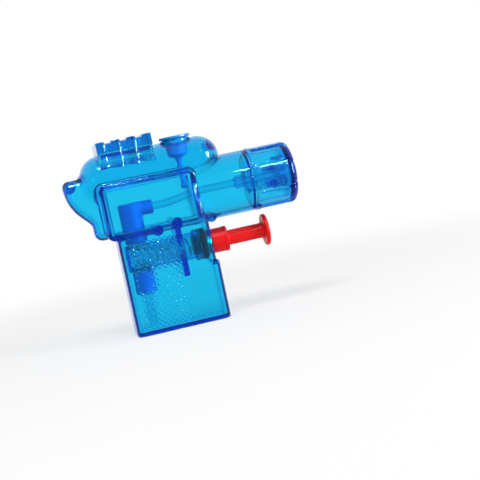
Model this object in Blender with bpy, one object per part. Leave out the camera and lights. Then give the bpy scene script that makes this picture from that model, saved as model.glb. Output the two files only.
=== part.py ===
"""Mini water squirter: a clear blue two-half casing with a piston pump, check valves and screw cap.

Units are metres, +Z up, +X towards the muzzle, +Y to the left. The grip stands on Z = 0, and X = 0 lies
midway between the spur and the muzzle.
"""

import math

import bmesh
import bpy
from mathutils import Matrix, Vector

MM = 0.001

# Main places
BARREL_Z = 49.0 * MM
SPUR_X = -43.5 * MM
MUZZLE_X = 43.5 * MM

# Casing
WALL = 1.5 * MM
SEAM_GAP = 0.3 * MM
FIT_GAP = 0.3 * MM
EDGE = 0.5 * MM

# Tank, a capsule along the top
TANK_RISE = 12.6 * MM
TANK_RADIUS = 8.0 * MM
TANK_HALF_WIDTH = 10.5 * MM
TANK_DEPTH = 10.0 * MM
TANK_REAR_X = -36.4 * MM
TANK_FRONT_X = 16.8 * MM

# Side slab, the raised rounded panel that stands out on both sides
SLAB_REAR_X = -31.3 * MM
SLAB_FRONT_X = 5.2 * MM
SLAB_TOP_RISE = 9.6 * MM
SLAB_BOTTOM_DROP = 11.6 * MM
SLAB_HALF_WIDTH = 12.0 * MM
SLAB_CORNER = 2.4 * MM
SLAB_EDGE = 1.2 * MM

# Grip, wide enough for the pump
GRIP_REAR_X = -28.0 * MM
GRIP_FRONT_X = 7.1 * MM
GRIP_SIDE_ROOM = 1.3 * MM
GRIP_CORNER = 3.0 * MM
GRIP_TOP_DROP = 8.0 * MM
GRIP_STEP = 1.0 * MM
GRIP_LEDGE_DROP = 6.6 * MM
GRIP_BASE_EDGE = 0.8 * MM

# Barrel, and the thread on the neck in front of it
BARREL_RADIUS = 11.8 * MM
NECK_RADIUS = 4.9 * MM
THREAD_HEIGHT = 0.8 * MM
THREAD_PITCH = 3.0 * MM
THREAD_TURNS = 1.25
THREAD_ROOT = 1.5 * MM
THREAD_TIP = 0.8 * MM
THREAD_LEAD_IN = 0.8 * MM
THREAD_PHASE = 0.37

# Rear spur and tail
TAIL_HALF_WIDTH = 6.5 * MM
TAIL_EDGE = 1.4 * MM
SPUR_TIP_RISE = 11.2 * MM
SPUR_TIP_RADIUS = 2.3 * MM
SPUR_PULL = 11.1 * MM
TAIL_WAIST_X = -35.5 * MM
TAIL_WAIST_DROP = 5.5 * MM
WAIST_PULL = 3.4 * MM
WAIST_LEAN = 0.2 * MM
TAIL_BOTTOM_DROP = 10.8 * MM
TAIL_HEEL = 3.0 * MM

# Seam bosses with a pin on the left half and a socket in the right half
BOSS_RADIUS = 1.8 * MM
PIN_RADIUS = 0.7 * MM
PIN_REACH = 2.2 * MM
SPUR_BOSS_INSET = 0.4 * MM
RAIL_BOSS_X = -13.8 * MM
RAIL_BOSS_RISE = 5.3 * MM
DOME_BOSS_SETBACK = 3.1 * MM
DOME_BOSS_RISE = 3.2 * MM
BELLY_BOSS_X = 8.9 * MM
BELLY_BOSS_DEPTH = 1.2 * MM
BELLY_LUG_RADIUS = 2.0 * MM
BELLY_LUG_REACH = 4.0 * MM
FLOOR_BOSS_REAR = 7.3 * MM
FLOOR_BOSS_FRONT = 8.2 * MM
NOZZLE_POST_RADIUS = 1.4 * MM

# Ribs inside the casing
FLOOR_RIB_THICKNESS = 1.5 * MM
FLOOR_RIB_DROP = 11.2 * MM
FLOOR_RIB_REACH = 9.1 * MM
FRONT_RIB_X = -5.1 * MM
FRONT_RIB_THICKNESS = 2.0 * MM
FRONT_RIB_TOP_DROP = 9.8 * MM
FRONT_RIB_BOTTOM_DROP = 30.0 * MM

# Top rail
RAIL_PLUG_GAP = 3.8 * MM
RAIL_TOOTH = 3.4 * MM
RAIL_TOOTH_GAP = 2.4 * MM
RAIL_TEETH = 4
RAIL_TOOTH_HEIGHT = 0.6 * MM
RAIL_HEIGHT = 4.4 * MM
RAIL_SKIRT_RISE = 2.1 * MM
RAIL_CHEEK = 0.7 * MM
RAIL_WALL = 1.2 * MM
RAIL_POCKET_REACH = 4.5 * MM
RAIL_EDGE = 0.35 * MM

# Filler plug and its seat
PLUG_X = 1.75 * MM
PLUG_FLANGE_LIP = 1.1 * MM
PLUG_FLANGE_THICKNESS = 1.0 * MM
PLUG_CUP_RADIUS = 4.8 * MM
PLUG_CUP_TAPER = 1.0 * MM
PLUG_CUP_DEPTH = 6.8 * MM
PLUG_STEM_RADIUS = 1.0 * MM
PLUG_STEM_CLEARANCE = 0.5 * MM
PLUG_BEAD_RADIUS = 1.4 * MM
PLUG_DISH_DEPTH = 0.5 * MM
FILLER_SEAT_RISE = 0.3 * MM
FILLER_SEAT_WALL = 0.8 * MM
FILLER_SEAT_HEIGHT = 5.0 * MM

# Nozzle cap
CAP_LENGTH = 16.6 * MM
CAP_REAR_GAP = 0.5 * MM
CAP_STEP = 0.2 * MM
CAP_WALL = 1.7 * MM
CAP_FRONT_WALL = 2.0 * MM
CAP_FRONT_ROUND = 2.6 * MM
CAP_RIM = 1.5 * MM
HUB_WALL = 1.2 * MM
HUB_LENGTH = 7.6 * MM
CAP_FLUTES = 8
CAP_FLUTE_STEPS = 6
CAP_FLUTE_TURN = math.radians(30)
CAP_FLUTE_DEPTH = 0.6 * MM
SEAL_THICKNESS = 0.8 * MM
SEAL_WIDTH = 1.2 * MM
SEAL_TIP_GAP = 0.5 * MM

# Nozzle tip and tube
TIP_RADIUS = 2.4 * MM
TIP_FLANGE_THICKNESS = 1.0 * MM
TIP_SLEEVE = 3.6 * MM
TIP_SLEEVE_WALL = 0.9 * MM
TIP_RECESS = 0.3 * MM
JET_RADIUS = 0.6 * MM
TUBE_RADIUS = 1.5 * MM
TUBE_WALL = 0.6 * MM
TUBE_GRIP = 3.0 * MM

# Riser elbow
RISER_X = -20.6 * MM
RISER_WALL = 1.0 * MM
RISER_TOP_RISE = 0.7 * MM
RISER_ROOF = 2.1 * MM
ARM_DROP = 2.0 * MM
ARM_WALL = 0.85 * MM
ARM_FRONT_X = -11.9 * MM
ARM_PASSAGE = 1.1 * MM

# Pump
CYLINDER_REAR_GAP = 0.5 * MM
CYLINDER_WALL = 1.1 * MM
FLANGE_RISE = 0.8 * MM
FLANGE_THICKNESS = 1.4 * MM
PORT_RADIUS = 1.5 * MM
GASKET_THICKNESS = 0.8 * MM
COLLAR_SHOULDER = 2.0 * MM
COLLAR_WALL = 1.5 * MM
COLLAR_LENGTH = 6.6 * MM
COLLAR_LIP_RISE = 0.15 * MM
COLLAR_LIP = 1.5 * MM

# Trigger
PISTON_LENGTH = 3.0 * MM
PISTON_STEP = 1.15 * MM
PISTON_GROOVE = 1.3 * MM
PISTON_GROOVE_DEPTH = 0.9 * MM
SHAFT_RADIUS = 2.9 * MM
SHAFT_FLARE = 1.2 * MM
TRIGGER_STROKE = 12.0 * MM
STROKE_SPARE = 2.4 * MM
DISC_RADIUS = 6.1 * MM
DISC_THICKNESS = 1.6 * MM
FINGER_ROOM = 1.9 * MM

# Return spring
WIRE_RADIUS = 0.35 * MM
SPRING_SIDE_GAP = 0.55 * MM
SPRING_TURNS = 9
POINTS_PER_CURL = 10

# Check valves
BALL_RADIUS = 2.0 * MM
BALL_SIDE_GAP = 0.7 * MM
BALL_LIFT = 1.0 * MM
SEAT_BORE = 1.2 * MM
SEAT_LENGTH = 4.2 * MM
VALVE_WALL = 1.3 * MM
VALVE_THROAT = 1.0 * MM
VALVE_SOCKET = 2.2 * MM
SUCTION_RADIUS = 1.8 * MM
SUCTION_WALL = 0.7 * MM
SUCTION_FLOOR_GAP = 1.6 * MM

# Facets
ROUND_SIDES = 32
MEDIUM_SIDES = 24
SMALL_SIDES = 12
BALL_RINGS = 7
TUBE_STEPS = 16
TAIL_STEPS = 8
EDGE_STEPS = 3
DOME_ANGLES = (14, 40, 66, 90)
SHARP_ANGLE = math.radians(32)
MERGE = 0.002 * MM

# Radii that follow from the sizes above
CAP_RADIUS = BARREL_RADIUS + CAP_STEP
CAP_BORE = CAP_RADIUS - CAP_WALL
THREAD_RADIUS = NECK_RADIUS + THREAD_HEIGHT
HUB_BORE = THREAD_RADIUS + FIT_GAP
NECK_BORE = NECK_RADIUS - WALL
FILLER_BORE = PLUG_CUP_RADIUS + FIT_GAP
FILLER_SEAT_RADIUS = FILLER_BORE + FILLER_SEAT_WALL
PLUG_FLANGE_RADIUS = PLUG_CUP_RADIUS + PLUG_FLANGE_LIP
TUBE_SOCKET = TUBE_RADIUS + FIT_GAP
CHAMBER_RADIUS = BALL_RADIUS + BALL_SIDE_GAP
SEAT_RADIUS = CHAMBER_RADIUS + FIT_GAP
RISER_RADIUS = SEAT_RADIUS + FIT_GAP + RISER_WALL
VALVE_RADIUS = CHAMBER_RADIUS + VALVE_WALL
CYLINDER_BORE = SHAFT_RADIUS + PISTON_STEP
CYLINDER_RADIUS = CYLINDER_BORE + CYLINDER_WALL
FLANGE_RADIUS = CYLINDER_RADIUS + FLANGE_RISE
COLLAR_BORE = SHAFT_RADIUS + FIT_GAP
COLLAR_RADIUS = COLLAR_BORE + COLLAR_WALL
SPRING_RADIUS = CYLINDER_BORE - SPRING_SIDE_GAP - WIRE_RADIUS
GRIP_HALF_WIDTH = FLANGE_RADIUS + GRIP_SIDE_ROOM + WALL
RAIL_HALF_WIDTH = TANK_HALF_WIDTH + FIT_GAP + RAIL_CHEEK

# Places along the barrel
CAP_REAR_X = MUZZLE_X - CAP_LENGTH
CAP_INNER_X = MUZZLE_X - CAP_FRONT_WALL
BARREL_FRONT_X = CAP_REAR_X - CAP_REAR_GAP
NECK_FRONT_X = CAP_INNER_X - SEAL_THICKNESS - 2 * FIT_GAP
HUB_REAR_X = CAP_INNER_X - HUB_LENGTH
THREAD_START_X = HUB_REAR_X + THREAD_LEAD_IN
TIP_REAR_X = CAP_INNER_X - FIT_GAP - TIP_FLANGE_THICKNESS - TIP_SLEEVE
NOZZLE_POST_X = TIP_REAR_X - FIT_GAP - NOZZLE_POST_RADIUS
NOZZLE_POST_SPREAD = TUBE_RADIUS + FIT_GAP + NOZZLE_POST_RADIUS

# Places on the tank
TANK_Z = BARREL_Z + TANK_RISE
TANK_TOP_Z = TANK_Z + TANK_RADIUS
FILLER_TOP_Z = TANK_TOP_Z + FILLER_SEAT_RISE
PLUG_STEM_Z = BARREL_Z + TUBE_RADIUS + PLUG_STEM_CLEARANCE
RAIL_PITCH = RAIL_TOOTH + RAIL_TOOTH_GAP
RAIL_LENGTH = RAIL_TEETH * RAIL_PITCH - RAIL_TOOTH_GAP
RAIL_REAR_X = PLUG_X - FILLER_SEAT_RADIUS - RAIL_PLUG_GAP - RAIL_LENGTH
FLOOR_RIB_Z = BARREL_Z - FLOOR_RIB_DROP

# Places along the pump
TRIGGER_Z = BARREL_Z - CAP_RADIUS - FINGER_ROOM - DISC_RADIUS
CYLINDER_REAR_X = GRIP_REAR_X + WALL + CYLINDER_REAR_GAP
COLLAR_REAR_X = GRIP_FRONT_X - WALL - FIT_GAP - COLLAR_SHOULDER
COLLAR_FRONT_X = GRIP_FRONT_X + COLLAR_LENGTH
CYLINDER_FRONT_X = COLLAR_REAR_X - GASKET_THICKNESS - 2 * FIT_GAP
PISTON_FRONT_X = COLLAR_REAR_X - FIT_GAP
PISTON_REAR_X = PISTON_FRONT_X - PISTON_LENGTH
DISC_REAR_X = COLLAR_FRONT_X + TRIGGER_STROKE + STROKE_SPARE

# Heights of the riser and the valves
ARM_Z = BARREL_Z - ARM_DROP
RISER_FOOT_Z = TRIGGER_Z + CYLINDER_RADIUS + FIT_GAP
SEAT_TOP_Z = RISER_FOOT_Z + SEAT_LENGTH
BALL_SEATED = math.sqrt(BALL_RADIUS**2 - SEAT_BORE**2) + 0.5 * FIT_GAP
BALL_ROOM = BALL_SEATED + BALL_RADIUS + BALL_LIFT + FIT_GAP
VALVE_TOP_Z = TRIGGER_Z - CYLINDER_RADIUS - FIT_GAP
VALVE_SEAT_Z = VALVE_TOP_Z - BALL_ROOM

X_AXIS = Vector((1, 0, 0))
Z_AXIS = Vector((0, 0, 1))


def material(name, colour, roughness, alpha=1.0, metallic=0.0):
    """A plain Principled material."""
    made = bpy.data.materials.new(name)
    made.use_nodes = True
    shader = made.node_tree.nodes["Principled BSDF"]
    shader.inputs["Base Color"].default_value = (*colour, 1.0)
    shader.inputs["Roughness"].default_value = roughness
    shader.inputs["Metallic"].default_value = metallic
    shader.inputs["Alpha"].default_value = alpha
    return made


def make_object(name, mesh_builder):
    """Turn a bmesh into a linked object with its faces pointing out."""
    bmesh.ops.recalc_face_normals(mesh_builder, faces=mesh_builder.faces)
    mesh = bpy.data.meshes.new(name)
    mesh_builder.to_mesh(mesh)
    mesh_builder.free()
    made = bpy.data.objects.new(name, mesh)
    bpy.context.scene.collection.objects.link(made)
    return made


def loft(name, rings, loop=False):
    """Skin rings of equal count. A loop joins the last ring to the first, and otherwise both ends close."""
    builder = bmesh.new()
    rows = [[builder.verts.new(point) for point in ring] for ring in rings]
    pairs = list(zip(rows, rows[1:]))
    if loop:
        pairs.append((rows[-1], rows[0]))
    else:
        builder.faces.new(rows[0])
        builder.faces.new(rows[-1])
    for near, far in pairs:
        count = len(near)
        for i in range(count):
            after = (i + 1) % count
            builder.faces.new((near[i], near[after], far[after], far[i]))
    return make_object(name, builder)


def ring_about(centre, axis, radius, sides, wide=1.0, deep=1.0, shape=None):
    """Points round an axis. wide stretches them along Y, deep stretches the lower half downwards, and
    shape gives a radius for each angle.
    """
    across = Vector((0, 1, 0))
    upward = axis.cross(across)
    points = []
    for i in range(sides):
        angle = 2 * math.pi * i / sides
        reach = radius if shape is None else shape(radius, angle)
        rise = reach * math.sin(angle)
        sideways = across * (reach * wide * math.cos(angle))
        points.append(centre + sideways + upward * (rise * deep if rise < 0 else rise))
    return points


def turned(name, profile, origin, axis, sides=SMALL_SIDES, loop=False):
    """Spin (along, radius) points about an axis through origin."""
    rings = [ring_about(origin + axis * along, axis, radius, sides) for along, radius in profile]
    return loft(name, rings, loop)


def rod(name, start, axis, length, radius, sides=SMALL_SIDES):
    """A plain round bar."""
    return turned(name, [(0, radius), (length, radius)], start, axis, sides)


def boolean(target, tool, operation):
    """Apply one Boolean to target, merge what coincides, and remove the tool."""
    change = target.modifiers.new(operation.lower(), "BOOLEAN")
    change.operation = operation
    change.solver = "EXACT"
    change.object = tool
    graph = bpy.context.evaluated_depsgraph_get()
    result = bpy.data.meshes.new_from_object(target.evaluated_get(graph))
    target.modifiers.clear()
    builder = bmesh.new()
    builder.from_mesh(result)
    bmesh.ops.remove_doubles(builder, verts=builder.verts, dist=MERGE)
    bmesh.ops.dissolve_degenerate(builder, edges=builder.edges, dist=MERGE)
    builder.to_mesh(result)
    builder.free()
    target.data = result
    bpy.data.objects.remove(tool)


def fuse(target, *tools):
    """Join each tool to target."""
    for tool in tools:
        boolean(target, tool, "UNION")


def cut(target, *tools):
    """Take each tool out of target."""
    for tool in tools:
        boolean(target, tool, "DIFFERENCE")


def clone(source, name):
    """A separate copy of an object and its mesh."""
    made = bpy.data.objects.new(name, source.data.copy())
    bpy.context.scene.collection.objects.link(made)
    return made


def finish(piece, look, origin=None):
    """Give a piece its material, smooth shading and, where it moves, an origin on its axis."""
    mesh = piece.data
    if origin is not None:
        mesh.transform(Matrix.Translation(-origin))
        piece.location = origin
    mesh.materials.clear()
    mesh.materials.append(look)
    mesh.shade_smooth()
    mesh.set_sharp_from_angle(angle=SHARP_ANGLE)
    return piece


def arc(centre_x, centre_z, radius, start, end, steps=EDGE_STEPS):
    """Points on an arc in the XZ plane, in degrees."""
    points = []
    for i in range(steps + 1):
        angle = math.radians(start + (end - start) * i / steps)
        points.append((centre_x + radius * math.cos(angle), centre_z + radius * math.sin(angle)))
    return points


def rounded_rectangle(low_x, high_x, low_z, high_z, corner):
    """Counter-clockwise outline with round corners."""
    outline = arc(high_x - corner, low_z + corner, corner, -90, 0)
    outline += arc(high_x - corner, high_z - corner, corner, 0, 90)
    outline += arc(low_x + corner, high_z - corner, corner, 90, 180)
    outline += arc(low_x + corner, low_z + corner, corner, 180, 270)
    return outline


def inset(outline, distance):
    """Move each side of a counter-clockwise outline inwards."""
    moved = []
    count = len(outline)
    for i in range(count):
        here = Vector(outline[i])
        arriving = (here - Vector(outline[i - 1])).normalized()
        leaving = (Vector(outline[(i + 1) % count]) - here).normalized()
        inward = Vector((-arriving.y, arriving.x)) + Vector((-leaving.y, leaving.x))
        inward.normalize()
        lean = max(0.3, inward.dot(Vector((-arriving.y, arriving.x))))
        moved.append(tuple(here + inward * (distance / lean)))
    return moved


def pillow(name, outline, half_width, edge):
    """Push an XZ outline through Y with rounded edges on both faces."""
    levels = []
    for step in range(EDGE_STEPS + 1):
        angle = 0.5 * math.pi * step / EDGE_STEPS
        levels.append((half_width - edge * (1 - math.cos(angle)), edge * (1 - math.sin(angle))))
    rings = []
    for y, shrink in [(-y, shrink) for y, shrink in levels] + levels[::-1]:
        rings.append([Vector((x, y, z)) for x, z in inset(outline, shrink)])
    return loft(name, rings)


def block(name, low, high):
    """A box between two corners."""
    rings = []
    for x in (low[0], high[0]):
        rings.append(
            [
                Vector((x, low[1], low[2])),
                Vector((x, high[1], low[2])),
                Vector((x, high[1], high[2])),
                Vector((x, low[1], high[2])),
            ]
        )
    return loft(name, rings)


def tank_body(name, grow):
    """The capsule, deeper below than above, larger than the tank's outside by grow."""
    radius = TANK_RADIUS + grow
    stretch = (TANK_HALF_WIDTH + grow) / radius
    deepen = (TANK_DEPTH + grow) / radius
    rear = TANK_REAR_X + TANK_RADIUS
    front = TANK_FRONT_X - TANK_RADIUS
    stations = []
    for degrees in DOME_ANGLES:
        angle = math.radians(degrees)
        stations.append((rear - radius * math.cos(angle), radius * math.sin(angle)))
    for degrees in reversed(DOME_ANGLES):
        angle = math.radians(degrees)
        stations.append((front + radius * math.cos(angle), radius * math.sin(angle)))
    rings = []
    for x, reach in stations:
        rings.append(ring_about(Vector((x, 0, TANK_Z)), X_AXIS, reach, ROUND_SIDES, stretch, deepen))
    return loft(name, rings)


def slab_body(name, grow):
    """The raised side panels and what lies between them, larger by grow."""
    outline = rounded_rectangle(
        SLAB_REAR_X - grow,
        SLAB_FRONT_X + grow,
        BARREL_Z - SLAB_BOTTOM_DROP - grow,
        BARREL_Z + SLAB_TOP_RISE + grow,
        SLAB_CORNER + 0.5 * grow,
    )
    return pillow(name, outline, SLAB_HALF_WIDTH + grow, SLAB_EDGE + 0.4 * grow)


def grip_body(name, grow):
    """The grip as level rounded rectangles, with a finger ledge in front and a small edge at the base."""
    top = BARREL_Z - GRIP_TOP_DROP
    ledge = TRIGGER_Z - GRIP_LEDGE_DROP
    edge = GRIP_BASE_EDGE
    levels = [
        (-grow, edge, GRIP_STEP),
        (edge - grow, 0.0, GRIP_STEP),
        (ledge - GRIP_STEP, 0.0, GRIP_STEP),
        (ledge, 0.0, 0.0),
        (top, 0.0, 0.0),
    ]
    rings = []
    for z, shrink, step in levels:
        flat = rounded_rectangle(
            GRIP_REAR_X - grow + shrink,
            GRIP_FRONT_X + grow + step - shrink,
            -GRIP_HALF_WIDTH - grow + shrink,
            GRIP_HALF_WIDTH + grow - shrink,
            GRIP_CORNER + grow - 0.5 * shrink,
        )
        rings.append([Vector((x, y, z)) for x, y in flat])
    return loft(name, rings)


def tail_outline():
    """Side view of the tail: spur, hollow rear curve, heel, then hidden inside the slab."""
    inside_x = SLAB_REAR_X + SLAB_CORNER + SLAB_EDGE + 2 * WALL
    tip_z = BARREL_Z + SPUR_TIP_RISE
    tip_x = SPUR_X + SPUR_TIP_RADIUS
    waist_z = BARREL_Z - TAIL_WAIST_DROP
    bottom_z = BARREL_Z - TAIL_BOTTOM_DROP
    outline = arc(tip_x, tip_z, SPUR_TIP_RADIUS, 90, 180)
    start = Vector(outline[-1])
    end = Vector((TAIL_WAIST_X, waist_z))
    near_start = start - Vector((0, SPUR_PULL))
    near_end = end + Vector((-WAIST_LEAN, WAIST_PULL))
    for i in range(1, TAIL_STEPS + 1):
        t = i / TAIL_STEPS
        first = start.lerp(near_start, t)
        middle = near_start.lerp(near_end, t)
        last = near_end.lerp(end, t)
        outline.append(tuple(first.lerp(middle, t).lerp(middle.lerp(last, t), t)))
    outline += arc(TAIL_WAIST_X + TAIL_HEEL, bottom_z + TAIL_HEEL, TAIL_HEEL, 180, 270)
    outline.append((inside_x, bottom_z))
    outline.append((inside_x, tip_z + SPUR_TIP_RADIUS))
    return outline


def tail_body(name, grow):
    """The tail with its spur, larger by grow."""
    return pillow(name, inset(tail_outline(), -grow), TAIL_HALF_WIDTH + grow, TAIL_EDGE + 0.5 * grow)


def helix_ridge(name, start_x, radius_in, radius_out, wide_in, wide_out, turns):
    """A thread ridge with a four-sided section, climbing along +X as it turns."""
    rings = []
    steps = int(turns * ROUND_SIDES)
    for i in range(steps + 1):
        angle = 2 * math.pi * (i + THREAD_PHASE) / ROUND_SIDES
        x = start_x + THREAD_PITCH * i / ROUND_SIDES
        section = (
            (x - 0.5 * wide_in, radius_in),
            (x + 0.5 * wide_in, radius_in),
            (x + 0.5 * wide_out, radius_out),
            (x - 0.5 * wide_out, radius_out),
        )
        rings.append(
            [
                Vector((at, reach * math.cos(angle), BARREL_Z + reach * math.sin(angle)))
                for at, reach in section
            ]
        )
    return loft(name, rings)


def tube_route():
    """The nozzle tube's middle line, from the riser's arm up to the barrel axis and along to the tip."""
    start_x = ARM_FRONT_X - TUBE_GRIP
    end_x = CAP_INNER_X - TIP_FLANGE_THICKNESS - FIT_GAP
    lift_from = ARM_FRONT_X + TUBE_GRIP
    lift_to = SLAB_FRONT_X + TUBE_GRIP
    route = []
    for i in range(TUBE_STEPS + 1):
        x = start_x + (end_x - start_x) * i / TUBE_STEPS
        t = min(1.0, max(0.0, (x - lift_from) / (lift_to - lift_from)))
        route.append(Vector((x, 0, ARM_Z + ARM_DROP * t * t * (3 - 2 * t))))
    return route


def nozzle_tube(look):
    """The clear tube with its bore, along a route that stays near the X direction."""
    route = tube_route()
    outer = [ring_about(point, X_AXIS, TUBE_RADIUS, SMALL_SIDES) for point in route]
    inner = [ring_about(point, X_AXIS, TUBE_RADIUS - TUBE_WALL, SMALL_SIDES) for point in reversed(route)]
    finish(loft("nozzle_tube", outer + inner, loop=True), look)


def boss_places():
    """X, Z and radius of each seam boss. The last two are posts in the neck, beside the tube."""
    spur_x = SPUR_X + SPUR_TIP_RADIUS + SPUR_BOSS_INSET
    spur_z = BARREL_Z + SPUR_TIP_RISE - SPUR_BOSS_INSET
    return [
        (spur_x, spur_z, BOSS_RADIUS),
        (RAIL_BOSS_X, TANK_Z + RAIL_BOSS_RISE, BOSS_RADIUS),
        (TANK_FRONT_X - DOME_BOSS_SETBACK, TANK_Z + DOME_BOSS_RISE, BOSS_RADIUS),
        (BELLY_BOSS_X, BARREL_Z - BARREL_RADIUS + BELLY_BOSS_DEPTH, BOSS_RADIUS),
        (RISER_X - FLOOR_BOSS_REAR, FLOOR_RIB_Z, BOSS_RADIUS),
        (RISER_X + FLOOR_BOSS_FRONT, FLOOR_RIB_Z, BOSS_RADIUS),
        (FRONT_RIB_X, BARREL_Z - FRONT_RIB_TOP_DROP, BOSS_RADIUS),
        (NOZZLE_POST_X, BARREL_Z + NOZZLE_POST_SPREAD, NOZZLE_POST_RADIUS),
        (NOZZLE_POST_X, BARREL_Z - NOZZLE_POST_SPREAD, NOZZLE_POST_RADIUS),
    ]


def cross_rod(name, x, z, radius, low_y, high_y):
    """A round bar along Y."""
    rings = []
    for y in (low_y, high_y):
        ring = []
        for i in range(SMALL_SIDES):
            angle = 2 * math.pi * i / SMALL_SIDES
            ring.append(Vector((x + radius * math.cos(angle), y, z + radius * math.sin(angle))))
        rings.append(ring)
    return loft(name, rings)


def casing_outside():
    """One solid of the casing's outer form."""
    body = tank_body("casing", 0.0)
    barrel_start = SLAB_FRONT_X - WALL
    barrel = rod(
        "barrel",
        Vector((barrel_start, 0, BARREL_Z)),
        X_AXIS,
        BARREL_FRONT_X - barrel_start,
        BARREL_RADIUS,
        ROUND_SIDES,
    )
    neck_start = BARREL_FRONT_X - WALL
    neck = rod(
        "neck",
        Vector((neck_start, 0, BARREL_Z)),
        X_AXIS,
        NECK_FRONT_X - neck_start,
        NECK_RADIUS,
        ROUND_SIDES,
    )
    seat = rod(
        "seat",
        Vector((PLUG_X, 0, FILLER_TOP_Z - FILLER_SEAT_HEIGHT)),
        Z_AXIS,
        FILLER_SEAT_HEIGHT,
        FILLER_SEAT_RADIUS,
        ROUND_SIDES,
    )
    thread = helix_ridge(
        "thread",
        THREAD_START_X,
        NECK_RADIUS - 0.5 * WALL,
        THREAD_RADIUS,
        THREAD_ROOT,
        THREAD_TIP,
        THREAD_TURNS,
    )
    fuse(body, slab_body("slab", 0.0), grip_body("grip", 0.0), tail_body("tail", 0.0))
    lug = cross_rod(
        "lug",
        BELLY_BOSS_X,
        BARREL_Z - BARREL_RADIUS + BELLY_BOSS_DEPTH,
        BELLY_LUG_RADIUS,
        -BELLY_LUG_REACH,
        BELLY_LUG_REACH,
    )
    fuse(body, barrel, neck, seat, thread, lug)
    return body


def casing_inside():
    """The space inside the casing, less its ribs and bosses, plus its holes."""
    space = tank_body("space", -WALL)
    bore_start = SLAB_FRONT_X - 2 * WALL
    barrel = rod(
        "barrel_space",
        Vector((bore_start, 0, BARREL_Z)),
        X_AXIS,
        BARREL_FRONT_X - WALL - bore_start,
        BARREL_RADIUS - WALL,
        ROUND_SIDES,
    )
    neck = rod(
        "neck_space",
        Vector((BARREL_FRONT_X - 2 * WALL, 0, BARREL_Z)),
        X_AXIS,
        NECK_FRONT_X - BARREL_FRONT_X + 3 * WALL,
        NECK_BORE,
        ROUND_SIDES,
    )
    fuse(space, slab_body("slab_space", -WALL), grip_body("grip_space", -WALL))
    fuse(space, tail_body("tail_space", -WALL), barrel, neck)

    deep = SLAB_HALF_WIDTH
    floor_rib = block(
        "floor_rib",
        (RISER_X - FLOOR_RIB_REACH, -deep, FLOOR_RIB_Z - 0.5 * FLOOR_RIB_THICKNESS),
        (RISER_X + FLOOR_RIB_REACH, deep, FLOOR_RIB_Z + 0.5 * FLOOR_RIB_THICKNESS),
    )
    front_rib = block(
        "front_rib",
        (FRONT_RIB_X - 0.5 * FRONT_RIB_THICKNESS, -deep, BARREL_Z - FRONT_RIB_BOTTOM_DROP),
        (FRONT_RIB_X + 0.5 * FRONT_RIB_THICKNESS, deep, BARREL_Z - FRONT_RIB_TOP_DROP),
    )
    cut(space, floor_rib, front_rib)
    for x, z, radius in boss_places():
        cut(space, cross_rod("boss", x, z, radius, -deep, deep))

    cylinder_way = rod(
        "cylinder_way",
        Vector((FRONT_RIB_X - FRONT_RIB_THICKNESS, 0, TRIGGER_Z)),
        X_AXIS,
        2 * FRONT_RIB_THICKNESS,
        CYLINDER_RADIUS + FIT_GAP,
        ROUND_SIDES,
    )
    riser_way = rod(
        "riser_way",
        Vector((RISER_X, 0, FLOOR_RIB_Z - FLOOR_RIB_THICKNESS)),
        Z_AXIS,
        2 * FLOOR_RIB_THICKNESS,
        RISER_RADIUS + FIT_GAP,
        ROUND_SIDES,
    )
    filler_way = rod(
        "filler_way",
        Vector((PLUG_X, 0, TANK_Z)),
        Z_AXIS,
        FILLER_TOP_Z - TANK_Z + WALL,
        FILLER_BORE,
        ROUND_SIDES,
    )
    collar_way = rod(
        "collar_way",
        Vector((GRIP_FRONT_X - 2 * WALL, 0, TRIGGER_Z)),
        X_AXIS,
        4 * WALL,
        COLLAR_RADIUS + FIT_GAP,
        ROUND_SIDES,
    )
    fuse(space, cylinder_way, riser_way, filler_way, collar_way)
    return space


def casing_halves(look):
    """Hollow the casing, split it at the seam, and add the pins and sockets."""
    whole = casing_outside()
    cut(whole, casing_inside())
    far = MUZZLE_X - SPUR_X
    right = clone(whole, "right_shell")
    left = clone(whole, "left_shell")
    bpy.data.objects.remove(whole)
    cut(right, block("left_side", (-far, -0.5 * SEAM_GAP, -far), (far, far, far)))
    cut(left, block("right_side", (-far, -far, -far), (far, 0.5 * SEAM_GAP, far)))
    for x, z, _ in boss_places():
        cut(right, cross_rod("socket", x, z, PIN_RADIUS + FIT_GAP, -PIN_REACH - FIT_GAP, SEAM_GAP))
        fuse(left, cross_rod("pin", x, z, PIN_RADIUS, -PIN_REACH, PIN_REACH))
    finish(right, look)
    finish(left, look)


def top_rail(look):
    """A toothed saddle over the tank, with a pocket under each tooth."""
    low = TANK_Z + RAIL_SKIRT_RISE
    high = TANK_TOP_Z + RAIL_HEIGHT
    outline = [(RAIL_REAR_X, low), (RAIL_REAR_X + RAIL_LENGTH, low)]
    for i in reversed(range(RAIL_TEETH)):
        start = RAIL_REAR_X + i * RAIL_PITCH
        outline.append((start + RAIL_TOOTH, high))
        outline.append((start, high))
        if i:
            outline.append((start, high - RAIL_TOOTH_HEIGHT))
            outline.append((start - RAIL_TOOTH_GAP, high - RAIL_TOOTH_HEIGHT))
    rail = pillow("top_rail", outline, RAIL_HALF_WIDTH, RAIL_EDGE)
    pocket_low = TANK_TOP_Z - 2 * RAIL_WALL
    pocket_high = high - RAIL_WALL
    for i in range(RAIL_TEETH):
        start = RAIL_REAR_X + i * RAIL_PITCH + 0.5 * RAIL_WALL
        stop = start + RAIL_TOOTH - RAIL_WALL
        low_corner = (start, -RAIL_POCKET_REACH, pocket_low)
        cut(rail, block("pocket", low_corner, (stop, RAIL_POCKET_REACH, pocket_high)))
    cut(rail, tank_body("tank_clearance", FIT_GAP))
    finish(rail, look)


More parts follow.
